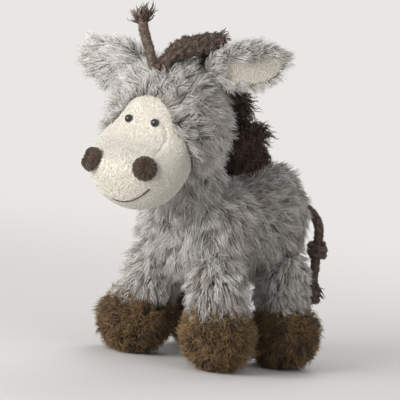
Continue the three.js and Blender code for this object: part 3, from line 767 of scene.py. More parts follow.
YARN_LOCKS = Pile(length=8.5, spacing=0.85, width=0.8, lean=52, sway=120, clump=2.8, gather=0.42, droop=0.3,
                  wave=2.1, waves=2.2, uneven=0.55, steps=6, blunt=3, fleck=0.32)
CORD_FUZZ = Pile(length=1.2, spacing=0.85, width=0.3, lean=60, sway=90, clump=1.6, gather=0.2, droop=0.0,
                 wave=0.5, waves=1.2, uneven=0.7, steps=3)
FELT_FUZZ = Pile(length=2.3, spacing=0.8, width=0.5, lean=60, sway=90, clump=2.2, gather=0.4, droop=0.0,
                 wave=0.9, waves=1.2, uneven=0.7, steps=3, fleck=0.22)
CORD_FRAY = Pile(length=8.5, spacing=1.3, width=1.2, lean=58, sway=36, clump=2.8, gather=0.45, droop=0.0,
                 wave=1.6, waves=1.1, uneven=0.5, steps=5, blunt=3, fleck=0.3)
TERRY_LOOPS = Pile(length=0.7, spacing=0.82, width=1.0, lean=14, sway=180, clump=1.2, gather=0.0, droop=0.0,
                   wave=0.05, uneven=0.35, steps=2, blunt=6)


def grow_pieces(name: str, pile: Pile, finish: Finish, body: str, slot: str, roots: Array, normals: Array,
                naps: Array, seed: int, tones: Array | float = 0.5, stretch: Array | float = 1.0,
                floor: float | None = None, order: Array | None = None) -> list[bpy.types.Object]:
    """Grows pile and makes it into as many pieces as the size of one piece allows.

    Args:
        name: The pieces' name, to which a number is added where there are several.
        pile: How the pile grows.
        finish: What the locks are made of.
        body: The body that the pieces move with.
        slot: The record's material slot.
        roots: The places of the locks.
        normals: The outward directions there.
        naps: The directions in which the pile lies.
        seed: The seed of all chance in these pieces.
        tones: The mean tint of each lock.
        stretch: The length of each lock, as a share of the pile's.
        floor: The height of the floor under the pile, if it reaches one.
        order: A number for each root, by which neighbours share a piece.

    Returns:
        The new pieces.
    """
    rng = np.random.default_rng(seed)
    shade, reach = np.broadcast_to(tones, len(roots)), np.broadcast_to(stretch, len(roots))
    parts = math.ceil(len(roots) * pile.triangles / PIECE_TRIANGLES)
    ranks = np.argsort(order) if order is not None else np.arange(len(roots))
    pieces = []
    for i, chosen in enumerate(np.array_split(ranks, parts)):
        locks = pile.grow(roots[chosen], normals[chosen], naps[chosen], rng, shade[chosen], reach[chosen],
                          floor)
        title = name if parts == 1 else f"{name}_{i + 1}"
        pieces.append(locks.piece(title, finish, body, slot))
    return pieces


@dataclass
class Studio:
    """The camera as the photograph was taken, a pale floor and soft light."""

    azimuth: float = 39.5
    elevation: float = 6.0
    roll: float = 7.2
    distance: float = 2780.0
    pixel: float = 0.781
    picture: int = 400
    stance_pixel: tuple[float, float] = (205.5, 358.4)
    sensor: float = 36.0
    floor_reach: float = 9000.0
    fade_start: float = 300.0
    fade_end: float = 1100.0
    background: str = "e9e7e4"
    floor_colour: str = "e4e2de"
    floor_roughness: float = 0.9
    floor_sides: int = 64
    sky_colour: str = "f2f4f8"
    sky_strength: float = 0.43
    aim_height: float = 120.0
    lamps: tuple[tuple[str, tuple[float, float, float], float, float], ...] = (
        ("key", (-1.15, 0.66, 1.2), 27.8, 1.0),
        ("fill", (1.3, 0.6, 1.0), 2.0, 1.2),
        ("back", (0.4, 1.1, -1.3), 10.0, 1.0),
    )

    def axes(self) -> tuple[Array, Array, Array]:
        """The picture's right, its up and the way that the camera looks."""
        a, e, r = (math.radians(x) for x in (self.azimuth, self.elevation, self.roll))
        right = np.array([math.cos(a), math.sin(a), 0])
        ahead = np.array([-math.sin(a) * math.cos(e), math.cos(a) * math.cos(e), -math.sin(e)])
        up = np.cross(right, ahead)
        turned = right * math.cos(r) + up * math.sin(r)
        return turned, np.cross(turned, ahead), ahead

    def camera(self, stance: Array) -> None:
        """Makes the camera, so that the middle of the stance lands on its pixel.

        Args:
            stance: The middle of the toy's stance on the floor.
        """
        right, up, ahead = self.axes()
        half = self.picture / 2
        x = (self.stance_pixel[0] - half) * self.pixel
        y = (half - self.stance_pixel[1]) * self.pixel
        eye = stance - ahead * self.distance - right * x - up * y
        made = bpy.data.objects.new("camera", bpy.data.cameras.new("camera"))
        made.data.sensor_width = self.sensor
        made.data.lens = self.sensor * self.distance / (self.picture * self.pixel)
        made.matrix_world = Matrix.Translation(eye * MM) @ Matrix(np.stack([right, up, -ahead], 1)).to_4x4()
        bpy.context.scene.collection.objects.link(made)
        bpy.context.scene.camera = made

    def lamp(self, name: str, place: tuple[float, float, float], target: Array, power: float,
             size: float) -> None:
        """Makes a soft square lamp.

        Args:
            name: The lamp's name.
            place: Its place from the target, to the picture's right, up and towards the camera, in metres.
            target: The point that it faces, in millimetres.
            power: Its power in watts.
            size: The length of its side in metres.
        """
        right = self.axes()[0]
        ahead = unit(np.cross(UP, right))
        spot = target * MM + place[0] * right + place[1] * UP - place[2] * ahead
        light = bpy.data.lights.new(name, "AREA")
        light.energy = power
        light.size = size
        made = bpy.data.objects.new(name, light)
        made.visible_camera = False
        made.location = spot
        made.rotation_euler = Vector(target * MM - spot).to_track_quat("-Z", "Y").to_euler()
        bpy.context.scene.collection.objects.link(made)

    @staticmethod
    def sight(tree: bpy.types.NodeTree) -> bpy.types.NodeSocket:
        """The output that is 1 for what the camera sees, also by way of gloss or clear plastic."""
        rays = add_node(tree, "LightPath").outputs
        mirrored = add_node(tree, "Math", {"operation": "MAXIMUM"},
                            {0: rays["Is Glossy Ray"], 1: rays["Is Transmission Ray"]})
        seen = add_node(tree, "Math", {"operation": "MAXIMUM"},
                        {0: rays["Is Camera Ray"], 1: mirrored.outputs[0]})
        return seen.outputs[0]

    def floor(self) -> None:
        """Makes the floor, which fades to the background's colour far from the toy."""
        turns = np.linspace(0, 2 * np.pi, self.floor_sides, endpoint=False)
        rim = np.stack([np.cos(turns), np.sin(turns), np.zeros_like(turns)], axis=1) * self.floor_reach
        disc = Surface(rim, [np.arange(self.floor_sides)[None]])
        made = bpy.data.objects.new("floor", disc.mesh("floor"))
        bpy.context.scene.collection.objects.link(made)
        sheet = bpy.data.materials.new("matt_painted_floor")
        sheet.use_nodes = True
        tree = sheet.node_tree
        paint = tree.nodes["Principled BSDF"]
        paint.inputs["Base Color"].default_value = linear(self.floor_colour)
        paint.inputs["Roughness"].default_value = self.floor_roughness
        place = add_node(tree, "TexCoord").outputs["Object"]
        far = add_node(tree, "VectorMath", {"operation": "LENGTH"}, {0: place})
        reach = {"From Min": self.fade_start * MM, "From Max": self.fade_end * MM}
        share = add_node(tree, "MapRange", {"interpolation_type": "SMOOTHSTEP", **reach},
                         {"Value": far.outputs["Value"]})
        fade = add_node(tree, "Math", {"operation": "MULTIPLY"}, {0: share.outputs[0], 1: self.sight(tree)})
        glow = add_node(tree, "Emission", {"Color": linear(self.background), "Strength": 1.0})
        mix = add_node(tree, "MixShader", links={0: fade.outputs[0], 1: paint.outputs[0], 2: glow.outputs[0]})
        tree.links.new(mix.outputs[0], tree.nodes["Material Output"].inputs["Surface"])
        made.data.materials.append(sheet)

    def world(self) -> None:
        """Makes even light from all round, behind which the camera sees the pale background."""
        made = bpy.data.worlds.new("studio")
        made.use_nodes = True
        tree = made.node_tree
        light = tree.nodes["Background"]
        light.inputs["Color"].default_value = linear(self.sky_colour)
        light.inputs["Strength"].default_value = self.sky_strength
        pale = add_node(tree, "Background", {"Color": linear(self.background), "Strength": 1.0})
        mix = add_node(tree, "MixShader",
                       links={0: self.sight(tree), 1: light.outputs[0], 2: pale.outputs[0]})
        tree.links.new(mix.outputs[0], tree.nodes["World Output"].inputs["Surface"])
        bpy.context.scene.world = made

    def build(self, stance: Array) -> None:
        """Makes the whole studio round a stance on the floor."""
        self.camera(stance)
        self.floor()
        self.world()
        for name, place, power, size in self.lamps:
            self.lamp(name, place, stance + UP * self.aim_height, power, size)
        bpy.context.scene.view_settings.view_transform = "Standard"


@dataclass
class Trunk:
    """The body with its short neck, in places of the stance: Y from breast to rump, and heights."""

    place: Placement
    ys: tuple[float, ...] = (-70, -36, 6, 53, 82)
    levels: tuple[float, ...] = (106, 106, 106, 111, 111)
    widths: tuple[float, ...] = (0, 90, 82, 84, 0)
    heights: tuple[float, ...] = (0, 80, 76, 98, 0)
    neck_root: tuple[float, float] = (-34, 108)
    neck_top: tuple[float, float] = (-54, 147)
    neck_radius: float = 30
    voxel: float = 2.6
    smoothing: int = 8
    pile_depth: float = 9.4
    core_depth: float = 7
    head_overlap: float = 9
    nap_start: float = -30
    nap_blend: float = 30
    spine_start: float = 95
    spine_blend: float = 30
    spine_nap: tuple[float, float, float] = (0, 0.75, -0.8)
    flank_nap: tuple[float, float, float] = (0, 0.2, -1.0)
    breast_nap: tuple[float, float, float] = (0, -0.1, -1.0)
    breast_start: float = -10
    breast_blend: float = 40
    breast_share: float = 0.3
    breast_top: float = 130
    pile_tone: float = 0.4
    # How much paler the breast's pile is painted, a painted light for the lit bib.
    breast_tone: float = 0.38
    pile_reach: float = 0.95
    belly_band: tuple[float, float] = (66, 88)
    belly_trim: float = 0.45
    rump_band: tuple[float, float] = (28, 70)
    rump_trim: float = 0.42
    tail_band: tuple[float, float] = (11, 26)
    tail_rise: float = 9
    tail_fluff: float = 0.25
    seed: int = 11

    def form(self, inset: float) -> Surface:
        """Body and neck as one soft skin.

        Args:
            inset: How far the skin lies inside the plush's outer surface.

        Returns:
            The skin in the part's frame.
        """
        inner = [max(y, self.ys[0] + inset) if y < 0 else min(y, self.ys[-1] - inset) for y in self.ys]
        middles = np.array([(0, y, z) for y, z in zip(inner, self.levels)], float)
        halves = np.array([(max(w / 2 - inset, 0), max(h / 2 - inset, 0))
                           for w, h in zip(self.widths, self.heights)])
        barrel = StuffedForm(middles, halves, np.array([1.0, 0, 0]), UP).surface(sides=48, rings=40)
        barrel.faces = [f[:, ::-1] for f in barrel.faces]
        low, high = (np.array([0, *p], float) for p in (self.neck_root, self.neck_top))
        radius = self.neck_radius - inset
        along = np.linspace(0, 1, 12)
        cap = np.linspace(0, 1, 9)[1:-1]
        path = np.vstack([low + (high - low) * along[:, None],
                          high + unit(high - low) * radius * np.sin(cap * np.pi / 2)[:, None]])
        radii = np.concatenate([np.full(len(along), radius), radius * np.cos(cap * np.pi / 2)])
        neck = tube(path, radii, sides=32)
        return merged([barrel, neck], self.voxel, self.smoothing).moved(self.place)

    def naps(self, roots: Array) -> Array:
        """The way the pile lies: back along the spine, down on the flanks and the breast."""
        local = self.place.local(roots)
        front = np.clip((self.nap_start - local[:, 1]) / self.nap_blend, 0, 1)[:, None]
        high = np.clip((local[:, 2] - self.spine_start) / self.spine_blend, 0, 1)[:, None]
        spine, flank, breast = (np.array(nap) for nap in (self.spine_nap, self.flank_nap, self.breast_nap))
        return (spine * high + flank * (1 - high)) * (1 - front) + breast * front

    def build(self, skin: Surface, sleeves: Sequence[Surface], head: Placement,
              head_halves: Array) -> list[bpy.types.Object]:
        """Makes the body's cloth and its pile.

        Args:
            skin: The cloth's surface.
            sleeves: Forms inside the legs' cloths, in which no pile grows.
            head: The head's frame.
            head_halves: The half sizes of the head ball.

        Returns:
            The new pieces.
        """
        cloth = skin.piece("body_cloth", GREY_BACKING, "body", "grey_plush")
        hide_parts("body_cover")
        roots, normals = skin.scatter(GREY_LOCKS.spacing, np.random.default_rng(self.seed))
        kept = np.linalg.norm(head.local(roots) / (head_halves - self.head_overlap), axis=1) > 1
        for sleeve in sleeves:
            kept &= ~sleeve.holds(roots)
        roots, normals = roots[kept], normals[kept]
        local = self.place.local(roots)
        breast = np.clip((self.breast_start - local[:, 1]) / self.breast_blend, 0, 1)
        front = (breast > self.breast_share) & (local[:, 2] < self.breast_top)
        rest = ~front
        # The breast's pile is painted paler, a painted light for the lit bib.
        naps, tones = self.naps(roots), self.pile_tone + self.breast_tone * breast
        reach = self.pile_reach - self.belly_trim * breast * np.interp(local[:, 2], self.belly_band, (1, 0))
        tail, _ = joint("tail_swing")
        apart = np.interp(np.linalg.norm(roots - tail - self.tail_rise * UP, axis=1), self.tail_band, (0, 1))
        rump = np.interp(local[:, 1], self.rump_band, (0, 1))
        reach += self.tail_fluff * (1 - apart) - self.rump_trim * rump * apart
        pile = grow_pieces("body_pile", GREY_LOCKS, GREY_PILE, "body", "grey_plush", roots[rest],
                           normals[rest], naps[rest], self.seed + 1, tones[rest], reach[rest],
                           order=roots[rest, 1])
        tufts = grow_pieces("breast_pile", BREAST_LOCKS, GREY_PILE, "body", "grey_plush", roots[front],
                            normals[front], naps[front], self.seed + 2, tones[front],
                            reach[front] / self.pile_reach)
        return [cloth, *pile, *tufts]


@dataclass
class Leg:
    """A plush sleeve that hangs from the hip to a round hoof of darker plush."""

    corner: Corner
    pile_tone: float
    hoof_tone: float
    rear_trim: float
    hip_radius: float = 24
    hip_rise: float = 12
    hip_radii: tuple[float, float] = (15, 21)
    sleeve_radius: float = 21.5
    ankle_radius: float = 20
    sleeve_share: float = 0.45
    ankle_share: float = 0.9
    foot_tuck: float = 4
    seam_height: float = 38
    pile_depth: float = 6.0
    core_depth: float = 12
    hoof_depth: float = 4.6
    floor_gap: float = 0.3
    ankle_band: float = 14
    seam_overlap: float = 5
    seam_dip: float = 2
    pile_reach: float = 0.95
    ankle_trim: float = 0.25
    ankle_flare: float = 0.9
    inner_trim: float = 0.3
    inner_shade: float = 0.2
    outward_nap: float = 0.4
    rear_way: tuple[float, float] = (0.77, 0.64)
    hoof_fall: float = 0.6
    seed: int = 20

    def hoof(self) -> tuple[Array, Array]:
        """The middle and the half sizes of the hoof's whole ball, from its cut CAD solid."""
        middle, half = node_box(f"hoof_{self.corner.value}_cover")
        return np.array([middle[0], middle[1], half[0]]), np.array([half[0], half[1], half[0]])

    def sleeve(self, inset: float) -> Surface:
        """The leg's closed cloth, from its hip to its seam.

        Args:
            inset: How far the cloth lies inside the plush's outer surface.

        Returns:
            The cloth in the part's frame.
        """
        hip, _ = joint(f"leg_{self.corner.value}_swing")
        foot, _ = self.hoof()
        drop = hip[2] - self.seam_height
        heights = np.array([self.hip_radius - inset, self.hip_rise, 0, -self.sleeve_share * drop,
                            -self.ankle_share * drop, -drop - self.foot_tuck])
        widths = np.array([0, *self.hip_radii, self.sleeve_radius, self.ankle_radius, 0])
        radii = np.maximum(widths - inset, 0)
        lean = np.clip(-heights / drop, 0, 1)[:, None] ** 2
        middles = hip + lean * np.array([foot[0] - hip[0], foot[1] - hip[1], 0]) + heights[:, None] * UP
        halves = np.stack([radii, radii], 1)
        form = StuffedForm(middles, halves, np.array([1.0, 0, 0]), np.array([0, 1.0, 0]))
        skin = form.surface(sides=32, rings=30)
        skin.faces = [f[:, ::-1] for f in skin.faces]
        return skin

    def build(self, trunk: Surface) -> list[bpy.types.Object]:
        """Makes the sleeve and the hoof with their pile.

        Args:
            trunk: A form inside the body's cloth, in which no pile grows.

        Returns:
            The new pieces.
        """
        word = self.corner.value
        body = f"leg_{word}"
        seed = self.seed + 10 * list(Corner).index(self.corner)
        sleeve = self.sleeve(self.pile_depth)
        cloth = sleeve.piece(f"{body}_cloth", GREY_BACKING, body, "grey_plush")
        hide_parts(f"{body}_cover")
        rng = np.random.default_rng(seed)
        roots, normals = sleeve.scatter(LEG_LOCKS.spacing, rng)
        above = roots[:, 2] > self.seam_height + self.seam_overlap - self.seam_dip
        kept = above & ~trunk.holds(roots)
        roots, normals = roots[kept], normals[kept]
        outward = self.corner.outward
        low = 1 - np.clip((roots[:, 2] - self.seam_height) / self.ankle_band, 0, 1)
        inner = np.clip(-outward * normals[:, 0], 0, 1)
        rear = np.clip(normals @ np.array([self.rear_way[0] * outward, self.rear_way[1], 0]), 0, 1)
        reach = self.pile_reach - self.ankle_trim * low - self.inner_trim * inner - self.rear_trim * rear
        naps = np.array([self.outward_nap * outward, 0, -1.0]) + self.ankle_flare * low[:, None] * normals
        pile = grow_pieces(f"{body}_pile", LEG_LOCKS, GREY_PILE, body, "grey_plush", roots, normals, naps,
                           seed + 1, self.pile_tone - self.inner_shade * inner, reach, self.floor_gap)
        foot, halves = self.hoof()
        hoof = ball(foot, halves - self.hoof_depth, sides=36)
        shoe = hoof.piece(f"hoof_{word}_cloth", BROWN_BACKING, body, "brown_plush")
        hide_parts(f"hoof_{word}_cover")
        roots, normals = hoof.scatter(HOOF_LOCKS.spacing, rng)
        kept = roots[:, 2] < self.seam_height + self.seam_overlap
        roots, normals = roots[kept], normals[kept]
        naps = unit(normals * np.array([1, 1, 0])) - UP * np.clip(normals[:, 2:] + self.hoof_fall, 0, 2)
        fur = grow_pieces(f"hoof_{word}_pile", HOOF_LOCKS, HOOF_PILE, body, "brown_plush", roots, normals,
                          naps, seed + 2, self.hoof_tone, 1.0, self.floor_gap)
        return [cloth, *pile, shoe, *fur]


# The hind legs' plush is painted paler, a painted light for their lit thighs, and is short behind; their
# hooves are painted darker, a painted shade for the shade they stand in.
FRONT_PLUSH: dict[str, float] = {"pile_tone": 0.58, "hoof_tone": 0.5, "rear_trim": 0.0}
HIND_PLUSH_WITH_PAINTED_LIGHT_AND_SHADE: dict[str, float] = {"pile_tone": 0.74, "hoof_tone": 0.36, "rear_trim": 0.38}


@dataclass
class Face:
    """The terry face, by stations down from the forehead: depth behind the ball's front, and height."""

    head_depth: float = 84
    sinks: tuple[float, ...] = (9, 9, 9, 6, 1, 1, 1)
    heights: tuple[float, ...] = (20, 12, 0, -15, -33, -54, -67)
    widths: tuple[float, ...] = (0, 34, 50, 71, 80, 58, 0)
    depths: tuple[float, ...] = (0, 15, 23, 36, 74, 54, 0)
    ground_steps: tuple[int, int] = (120, 110)
    head_overlap: float = 6
    loop_depth: float = 0.7
    loop_tone: float = 0.55
    loop_fan: float = 0.3
    eye_spacing: float = 22
    eye_height: float = 0
    eye_radius: float = 3.2
    eye_foot: float = 0.9
    eye_lift: float = 0.3
    eye_tuck: float = 0.6
    bead_sides: int = 28
    stem_radius: float = 1.2
    stem_length: float = 6.5
    stem_edge: float = 0.1
    nostril_spacing: float = 44
    nostril_height: float = -32
    nostril_radius: float = 9.5
    nostril_dome: float = 6
    nostril_sink: float = 0.55
    nostril_tuck: float = 1.5
    dimple: float = 1.7
    dimple_reach: float = 0.16
    pleats: int = 13
    pleat_points: int = 8
    pleat_depth: float = 2.4
    pleat_vary: float = 0.35
    pleat_drift: tuple[float, float] = (0.7, 0.4)
    pleat_rise: float = 0.9
    rim_wave: float = 0.025
    mouth_left: float = 24
    mouth_right: float = 7
    mouth_height: float = -60
    mouth_rise: float = 13
    thread: float = 1.1
    thread_end: float = 0.45
    thread_turns: float = 12
    thread_seats: int = 13
    thread_steps: int = 160
    ply_overlap: float = 1.15
    fold: tuple[tuple[float, float], ...] = ((19, -2), (22.5, -9), (24, -15), (23, -21))
    fold_depth: float = 1.6
    fold_reach: float = 1.7
    seed: int = 71

    def form(self, inset: float) -> StuffedForm:
        """The face's form in the head's frame, inside its outer surface by an inset."""
        heights = np.array(self.heights, float)
        heights[0] -= inset
        heights[-1] += inset
        middles = np.stack([np.zeros(len(heights)), np.array(self.sinks) - self.head_depth / 2, heights], 1)
        sizes = np.stack([self.widths, self.depths], 1) / 2
        halves = np.where(sizes > 0, sizes - inset, 0)
        return StuffedForm(middles, halves, np.array([1.0, 0, 0]), np.array([0, -1.0, 0]))

    def seat(self, x: float, height: float, lift: float = 0.0) -> tuple[Array, Array]:
        """A place on the front of the face.

        Args:
            x: The place's distance to the left of the middle.
            height: Its height from the head's middle.
            lift: Its distance in front of the cloth.

        Returns:
            The point and the outward direction, in the head's frame.
        """
        form = self.form(0)
        low, high = 0.0, 1.0
        for _ in range(HALVINGS):
            share = (low + high) / 2
            if form.at(np.zeros(1), np.array([share]))[0, 2] > height:
                low = share
            else:
                high = share
        reach = form.at(np.zeros(1), np.array([low]))[0, 0]
        turn = math.acos(max(-1.0, min(1.0, x / reach)))
        step = 1e-3
        here, aside, down = form.at(np.array([turn, turn + step, turn]), np.array([low, low, low + step]))
        outward = unit(np.cross(down - here, aside - here))
        outward = outward if outward[1] < 0 else -outward
        return here + outward * lift, outward

    def seat_frame(self, head: Placement, x: float, height: float) -> Placement:
        """A frame on the face whose third axis points outwards.

        Args:
            head: The head's frame.
            x: The place's distance to the left of the middle.
            height: Its height from the head's middle.

        Returns:
            The frame in the part's frame.
        """
        point, outward = self.seat(x, height)
        first = unit(np.cross(UP, outward))
        axes = np.stack([first, np.cross(outward, first), outward], axis=1)
        return Placement(head.point(point[None])[0], head.axes @ axes)

    def bead(self) -> Surface:
        """An eye: a polished dome on a stem, seen from a frame whose third axis points outwards."""
        stem, dome = self.stem_radius, self.eye_radius
        profile = [(0.0, -self.stem_length - self.stem_edge), (stem, -self.stem_length),
                   (stem, -self.stem_edge), (dome * self.eye_foot, 0.0)]
        levels = np.linspace(0, np.pi / 2, 12)[:-1]
        profile += [(dome * math.cos(a), self.eye_lift + dome * math.sin(a)) for a in levels]
        profile.append((0.0, self.eye_lift + dome))
        turns = np.linspace(0, 2 * np.pi, self.bead_sides, endpoint=False)
        circle = np.stack([np.cos(turns), np.sin(turns), np.zeros_like(turns)], axis=1)
        return closed_rings(np.array([circle * r + UP * h for r, h in profile]))

    def pad(self) -> Surface:
        """A nostril: a felt disc gathered to its middle, so that it domes and its rim is pleated."""
        turns = np.linspace(0, 2 * np.pi, self.pleat_points * self.pleats, endpoint=False)
        slow, fast = self.pleat_drift
        uneven = self.pleats * turns / 2 + slow * np.sin(2 * turns + 1) + fast * np.sin(3 * turns)
        depth = self.pleat_depth * (1 - self.pleat_vary + self.pleat_vary * np.sin(3 * turns + 2))
        rings = []
        for share in np.concatenate([np.linspace(0, 1, 4)[:3], np.linspace(1, 2, 14)]):
            rise = math.sin((share - 1) * np.pi / 2) if share > 1 else -self.nostril_sink * (1 - share)
            wide = math.cos((share - 1) * np.pi / 2) if share > 1 else share
            fold = depth * math.sin(min(max(share - 1, 0), 1) * np.pi) * np.abs(np.sin(uneven))
            dimple = self.dimple * math.exp(-((2 - share) / self.dimple_reach) ** 2)
            lift = self.nostril_dome * rise - dimple + fold * (self.pleat_rise if share > 1 else 0)
            rim = 1 + self.rim_wave * np.cos(self.pleats * turns) * (share > 0.9)
            reach = self.nostril_radius * wide * rim
            level = np.broadcast_to(lift, turns.shape)
            rings.append(np.stack([reach * np.cos(turns), reach * np.sin(turns), level], axis=1))
        return closed_rings(np.array(rings))

    def smile(self, head: Placement) -> Surface:
        """The mouth: two plies of thread twisted round each other along a smile.

        Args:
            head: The head's frame.

        Returns:
            The two plies.
        """
        seats = []
        for x in np.linspace(-self.mouth_right, self.mouth_left, self.thread_seats):
            height = self.mouth_height + self.mouth_rise * (x / self.mouth_left) ** 2
            seats.append(self.seat(x, height, self.thread / 3)[0])
        path = head.point(catmull(np.array(seats), np.linspace(0, 1, self.thread_steps)))
        first, second = side_frames(path)
        ply = self.thread / 4
        girth = ply * self.ply_overlap * np.linspace(self.thread_end, 1, self.thread_steps)
        turn = np.linspace(0, 2 * np.pi * self.thread_turns, self.thread_steps)[:, None]
        plies = []
        for start in (0, np.pi):
            aside = first * np.cos(turn + start) + second * np.sin(turn + start)
            plies.append(tube(path + ply * aside, girth, sides=6))
        return Surface.joined(plies)

    def folded(self, skin: Surface) -> Surface:
        """Presses in the fold that runs down the left cheek from the eye to the nostril.

        Args:
            skin: The face's cloth in the head's frame.

        Returns:
            The cloth with its fold.
        """
        seats = np.array([self.seat(x, height)[0] for x, height in self.fold])
        line = catmull(seats, np.linspace(0, 1, 60))
        apart = np.linalg.norm(skin.points - line[nearest(skin.points, line)], axis=1)
        sink = self.fold_depth * np.exp(-((apart / self.fold_reach) ** 2))
        return Surface(skin.points - skin.normals() * sink[:, None], skin.faces, skin.uv)

    def build(self, head: Placement, halves: Array) -> list[bpy.types.Object]:
        """Makes the face's cloth and loops, the eyes, the nostrils and the mouth.

        Args:
            head: The head's frame.
            halves: The half sizes of the head ball.

        Returns:
            The new pieces.
        """
        ground = self.folded(self.form(self.loop_depth).surface(*self.ground_steps)).moved(head)
        cloth = ground.piece("face_cloth", CREAM_GROUND, "head", "cream_terry")
        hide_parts("face_cover")
        roots, normals = ground.scatter(TERRY_LOOPS.spacing, np.random.default_rng(self.seed))
        kept = np.linalg.norm(head.local(roots) / (halves - self.head_overlap), axis=1) > 1
        roots, normals = roots[kept], normals[kept]
        eyes = [(side.value * self.eye_spacing / 2, self.eye_height) for side in Side]
        nostrils = [(side.value * self.nostril_spacing / 2, self.nostril_height) for side in Side]
        bare = [(spot, self.nostril_radius - self.nostril_tuck) for spot in nostrils]
        bare += [(spot, self.eye_radius - self.eye_tuck) for spot in eyes]
        for spot, reach in bare:
            kept = np.linalg.norm(head.local(roots) - self.seat(*spot)[0], axis=1) > reach
            roots, normals = roots[kept], normals[kept]
        naps = np.tile(-UP, (len(roots), 1)) + self.loop_fan * normals[:, [1, 0, 2]]
        made = [cloth, *grow_pieces("face_loops", TERRY_LOOPS, CREAM_LOOPS, "head", "cream_terry", roots,
                                    normals, naps, self.seed + 1, self.loop_tone, order=roots[:, 2])]
        for side, eye, nostril in zip(Side, eyes, nostrils):
            bead = self.bead().moved(self.seat_frame(head, *eye))
            made.append(bead.piece(f"eye_bead_{side.word}", BLACK_BEAD, "head", "black_bead"))
            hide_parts(f"eye_{side.word}")
            pad = self.pad().moved(self.seat_frame(head, *nostril))
            made.append(pad.piece(f"nostril_pad_{side.word}", NOSTRIL_FELT, "head", "brown_felt"))
            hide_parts(f"nostril_{side.word}")
        made.append(self.smile(head).piece("mouth_stitches", MOUTH_THREAD, "head", "mouth_thread"))
        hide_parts("mouth_thread")
        return made


@dataclass
class Head:
    """The head ball, whose pile parts round the face and falls behind it."""

    forward: float = 26
    rise: float = 40
    halves: tuple[float, float, float] = (45, 42, 45)
    pile_depth: float = 7.0
    pile_reach: float = 1.05
    pile_tone: float = 0.55
    back_nap: tuple[float, float, float] = (0, 0.3, -1.0)
    face_gap: float = 0.4
    face_side: tuple[float, float, float] = (0, -1.0, -0.45)
    ear_fluffs: tuple[tuple[Side, float], ...] = ((Side.RIGHT, 0.3), (Side.LEFT, -0.55))
    ear_reach: float = 20.0
    crown: tuple[float, float, float] = (17, -11, 40)
    crown_fluff: float = 0.85
    crown_reach: float = 13.0
    ruff_levels: tuple[float, float] = (0.86, 1.12)
    ruff_facing: tuple[float, float] = (-0.62, 0.5)
    ruff_back: float = 0.12
    # The ruff's pile is painted paler than the head's, a painted light against the shade in the seam round
    # the face.
    ruff_tone: float = 0.75
    ruff_band: tuple[float, float] = (-18, 6)
    ruff_reach: tuple[float, float] = (0.75, 1.0)
    seed: int = 61

    def place(self) -> Placement:
        """The head's frame: its origin in the middle of the ball, and -Y to the front of the turned head."""
        neck, axis = joint("head_nod")
        axes = np.stack([axis, np.cross(UP, axis), UP], axis=1)
        return Placement(neck + np.array([0, -self.forward, self.rise]), axes)

    def parting(self) -> Array:
        """The place on the face, in the head's frame, away from which the pile is combed."""
        return unit(np.array(self.face_side)) * self.halves[1]

    def build(self, face: Face) -> list[bpy.types.Object]:
        """Makes the head's cloth and its pile.

        Args:
            face: The face, inside which no pile grows.

        Returns:
            The new pieces.
        """
        place = self.place()
        skin = ball(np.zeros(3), np.array(self.halves) - self.pile_depth, sides=44).moved(place)
        cloth = skin.piece("head_cloth", GREY_BACKING, "head", "grey_plush")
        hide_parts("head_cover")
        roots, normals = skin.scatter(GREY_LOCKS.spacing, np.random.default_rng(self.seed))
        border = face.form(-self.face_gap).surface(sides=48, rings=48).moved(place)
        kept = ~border.holds(roots)
        roots, normals = roots[kept], normals[kept]
        local = place.local(roots)
        away = unit(local - self.parting())
        back = np.clip(local[:, 1] / self.halves[1] * 0.5 + 0.5, 0, 1)[:, None]
        naps = place.direction(away * (1 - back) + np.array(self.back_nap) * back)
        stretch = np.full(len(roots), self.pile_reach)
        fluffs = [(joint(f"ear_{side.word}_flop")[0], fluff, self.ear_reach)
                  for side, fluff in self.ear_fluffs]
        fluffs.append((place.point(np.array([self.crown]))[0], self.crown_fluff, self.crown_reach))
        for spot, fluff, reach in fluffs:
            stretch += fluff * np.exp(-(np.linalg.norm(roots - spot, axis=1) / reach) ** 2)
        pile = grow_pieces("head_pile", GREY_LOCKS, GREY_PILE, "head", "grey_plush", roots, normals, naps,
                           self.seed + 1, self.pile_tone, stretch, order=local[:, 1])
        return [cloth, *pile, *self.ruff(face)]

    def ruff(self, face: Face) -> list[bpy.types.Object]:
        """Makes the pile that stands up in the seam round the face, combed outwards from the terry.

        Args:
            face: The face, on whose rim it grows.

        Returns:
            The new pieces.
        """
        place, seed = self.place(), self.seed + 4
        rim = face.form(0).surface(sides=64, rings=60)
        local, outward = rim.scatter(RUFF_LOCKS.spacing, np.random.default_rng(seed))
        level, facing = np.linalg.norm(local / np.array(self.halves), axis=1), outward[:, 1]
        (near, far), (front, back) = self.ruff_levels, self.ruff_facing
        kept = (level > near) & (level < far) & (facing > front) & (facing < back)
        local, outward = local[kept], outward[kept]
        naps = unit(local - self.parting()) * np.array([1, 0, 1]) + np.array([0, self.ruff_back, 0])
        # The ruff's tone is painted light against the shade in the seam round the face.
        return grow_pieces("head_ruff", RUFF_LOCKS, GREY_PILE, "head", "grey_plush", place.point(local),
                           place.direction(outward), place.direction(naps), seed + 1, self.ruff_tone,
                           np.interp(local[:, 0], self.ruff_band, self.ruff_reach))


